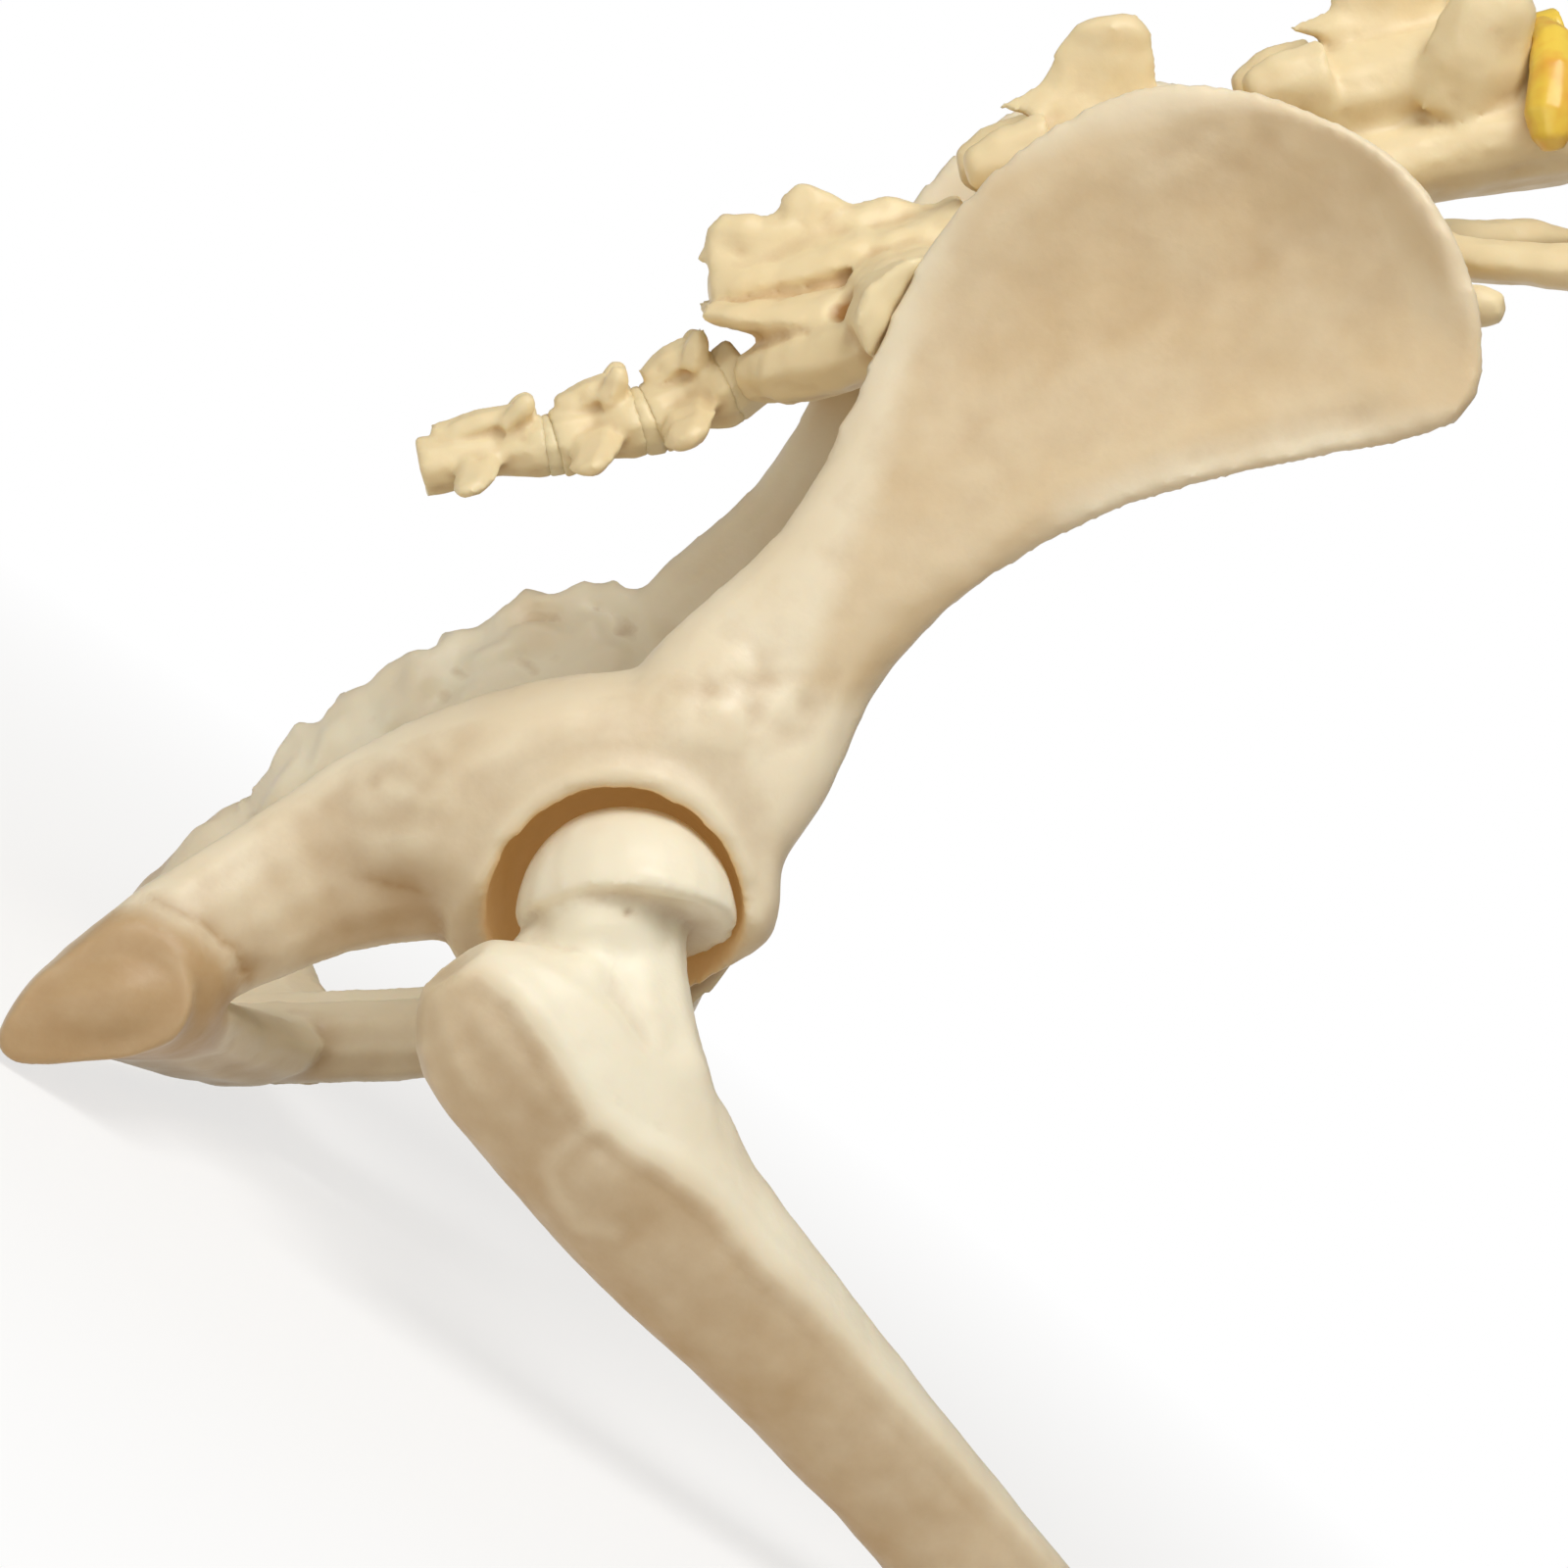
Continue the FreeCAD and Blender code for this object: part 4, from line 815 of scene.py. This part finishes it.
def spine_bone(node, grid_mm, rounds, coarse, fine=0.12, pit=0.2, holes=(), shade_share=1.0):
    """A bone of the spine: its solid made smooth, then waves, pits and small openings, with painted shade
    in its hollows and openings.
    """
    clay = clay_of(node, grid_mm, rounds)
    clay.soften(1)
    places = animal_mm(clay.points)
    push = coarse * waviness(places, 6, 5) + fine * waviness(places, 2.6, 6)
    push -= pit * pitting(places, 3.5, 7)
    for (x, y, z), radius, depth in holes:
        for side in (1, -1):
            dent = round_spot(places, (x, side * y, z), radius)
            push -= depth * dent
            # The openings get painted shade, as the hollows do below.
            clay.painted_shade += 0.6 * dent
    clay.push_out(push)
    paint_hollow_shade(clay, 0.40 * shade_share, 0.55 * shade_share)
    set_piece(clay, node, WARM)


def soft_piece(node, grid_mm, rounds, material, bulge=0.0):
    """A small piece of soft plastic with its edges rounded, squeezed out a little where it bulges."""
    clay = clay_of(node, grid_mm, rounds)
    clay.push_out(np.full(len(clay.points), bulge))
    set_piece(clay, node, material)


knob_meshes = [knobs(SPUR_LINE, count=26, radius=2.3, spread=1.6, seed=3),
               knobs(SPUR_LINE, count=40, radius=1.4, spread=2.8, seed=8)]
hip_bone("right_hip_bone", 1, 26)
hip_bone("left_hip_bone", -1, 16, knob_meshes)
femur_bone()
spine_bone("sacrum", 0.6, 9, coarse=0.60, fine=0.30, holes=SACRUM_HOLES)
# The lumbar bones get less painted shade in their hollows.
spine_bone("lumbar_vertebra_7", 0.65, 20, coarse=0.40, shade_share=0.6)
spine_bone("lumbar_vertebra_6", 0.65, 20, coarse=0.40, shade_share=0.3)
for number in (1, 2, 3):
    spine_bone("tail_vertebra_%d" % number, 0.4, 10, coarse=0.45, fine=0.20, pit=0.35)
    soft_piece("tail_disc_%d" % number, 0.3, 4, WARM, bulge=0.45)
for node in ("spinal_cord", "right_nerve_root", "left_nerve_root"):
    soft_piece(node, 0.4, 10, NERVE)
for node in ("lumbosacral_disc", "lumbar_disc"):
    soft_piece(node, 0.4, 6, DISC)

screw_mesh = frame["nodes"]["right_hip_screw"].data
screw_mesh.materials.clear()
screw_mesh.materials.append(STEEL)


def set_camera():
    """The photograph's view: almost level from the right, with the image's top along the animal's back."""
    down_tilt = math.radians(8.0)
    side_turn = math.radians(3.0)
    focal_pixels = 5636.4
    stand = Vector((-12.925, -647.338, 99.032))
    forward = Vector((math.sin(side_turn) * math.cos(down_tilt), math.cos(side_turn) * math.cos(down_tilt),
                      -math.sin(down_tilt)))
    right = Vector((math.cos(side_turn), -math.sin(side_turn), 0))
    up = right.cross(forward)
    turn = Matrix((right, up, -forward)).transposed()
    camera = bpy.data.objects.new("camera", bpy.data.cameras.new("camera"))
    camera.data.lens = SENSOR_SIDE * focal_pixels / IMAGE_SIDE
    camera.data.sensor_width = SENSOR_SIDE
    camera.data.clip_start = 0.01
    camera.matrix_world = Matrix.Translation(placed(*stand)) @ (lean_matrix @ turn).to_4x4()
    bpy.context.scene.collection.objects.link(camera)
    bpy.context.scene.camera = camera


def set_floor():
    """A wide pale floor that the camera sees almost white and that still takes the model's soft shadow."""
    half = 3.0
    gap = 0.2 * MM
    corners = [(-half, -half, 0), (half, -half, 0), (half, half, 0), (-half, half, 0)]
    mesh = bpy.data.meshes.new("floor")
    mesh.from_pydata(corners, [], [(0, 1, 2, 3)])
    floor = bpy.data.objects.new("floor", mesh)
    floor.location.z = -gap
    bpy.context.scene.collection.objects.link(floor)
    material, tree = new_material("pale_floor_board")
    rays = add_node(tree, "ShaderNodeLightPath")
    matt = add_node(tree, "ShaderNodeBsdfDiffuse", inputs={"Color": linear("#F4F4F2")})
    bright = add_node(tree, "ShaderNodeEmission", inputs={"Color": (1, 1, 1, 1), "Strength": 1.0})
    seen = add_node(tree, "ShaderNodeMath", {"operation": "MAXIMUM"},
                    links={0: rays.outputs["Is Camera Ray"], 1: rays.outputs["Is Glossy Ray"]})
    place = add_node(tree, "ShaderNodeTexCoord").outputs["Object"]
    distance = add_node(tree, "ShaderNodeVectorMath", {"operation": "LENGTH"}, links={0: place})
    faded = add_node(tree, "ShaderNodeMapRange",
                     inputs={"From Min": 0.10, "From Max": 0.32, "To Min": 0.72, "To Max": 1.0},
                     links={"Value": distance.outputs["Value"]})
    share = add_node(tree, "ShaderNodeMath", {"operation": "MULTIPLY"},
                     links={0: seen.outputs["Value"], 1: faded.outputs["Result"]})
    mixed = add_node(tree, "ShaderNodeMixShader",
                     links={0: share.outputs["Value"], 1: matt.outputs["BSDF"],
                            2: bright.outputs["Emission"]})
    add_node(tree, "ShaderNodeOutputMaterial", links={"Surface": mixed.outputs["Shader"]})
    mesh.materials.append(material)


def set_world():
    """Soft even light from all round, seen as white."""
    world = bpy.data.worlds.new("studio")
    world.use_nodes = True
    tree = world.node_tree
    tree.nodes.clear()
    rays = add_node(tree, "ShaderNodeLightPath")
    seen = add_node(tree, "ShaderNodeMath", {"operation": "MAXIMUM"},
                    links={0: rays.outputs["Is Camera Ray"], 1: rays.outputs["Is Transmission Ray"]})
    fill = add_node(tree, "ShaderNodeBackground", inputs={"Color": linear("#FFEED8"), "Strength": 0.26})
    white = add_node(tree, "ShaderNodeBackground", inputs={"Color": (1, 1, 1, 1), "Strength": 1.0})
    mixed = add_node(tree, "ShaderNodeMixShader",
                     links={0: seen.outputs["Value"], 1: fill.outputs["Background"],
                            2: white.outputs["Background"]})
    add_node(tree, "ShaderNodeOutputWorld", links={"Surface": mixed.outputs["Shader"]})
    bpy.context.scene.world = world


def add_lamp(name, stand, target, size, power):
    """A square soft white lamp at a place in the animal's directions, turned to a target."""
    lamp = bpy.data.objects.new(name, bpy.data.lights.new(name, "AREA"))
    lamp.data.shape = "SQUARE"
    lamp.data.size = size
    lamp.data.energy = power
    place = placed(*stand)
    aim = placed(*target) - place
    lamp.matrix_world = Matrix.Translation(place) @ aim.to_track_quat("-Z", "Y").to_matrix().to_4x4()
    bpy.context.scene.collection.objects.link(lamp)


set_camera()
set_floor()
set_world()
add_lamp("key_softbox", (265, -345, 594), (20, -30, 20), size=0.45, power=3.75)
add_lamp("front_softbox", (-90, -690, 250), (10, 0, 20), size=0.40, power=0.7)
bpy.context.scene.view_settings.view_transform = "Standard"
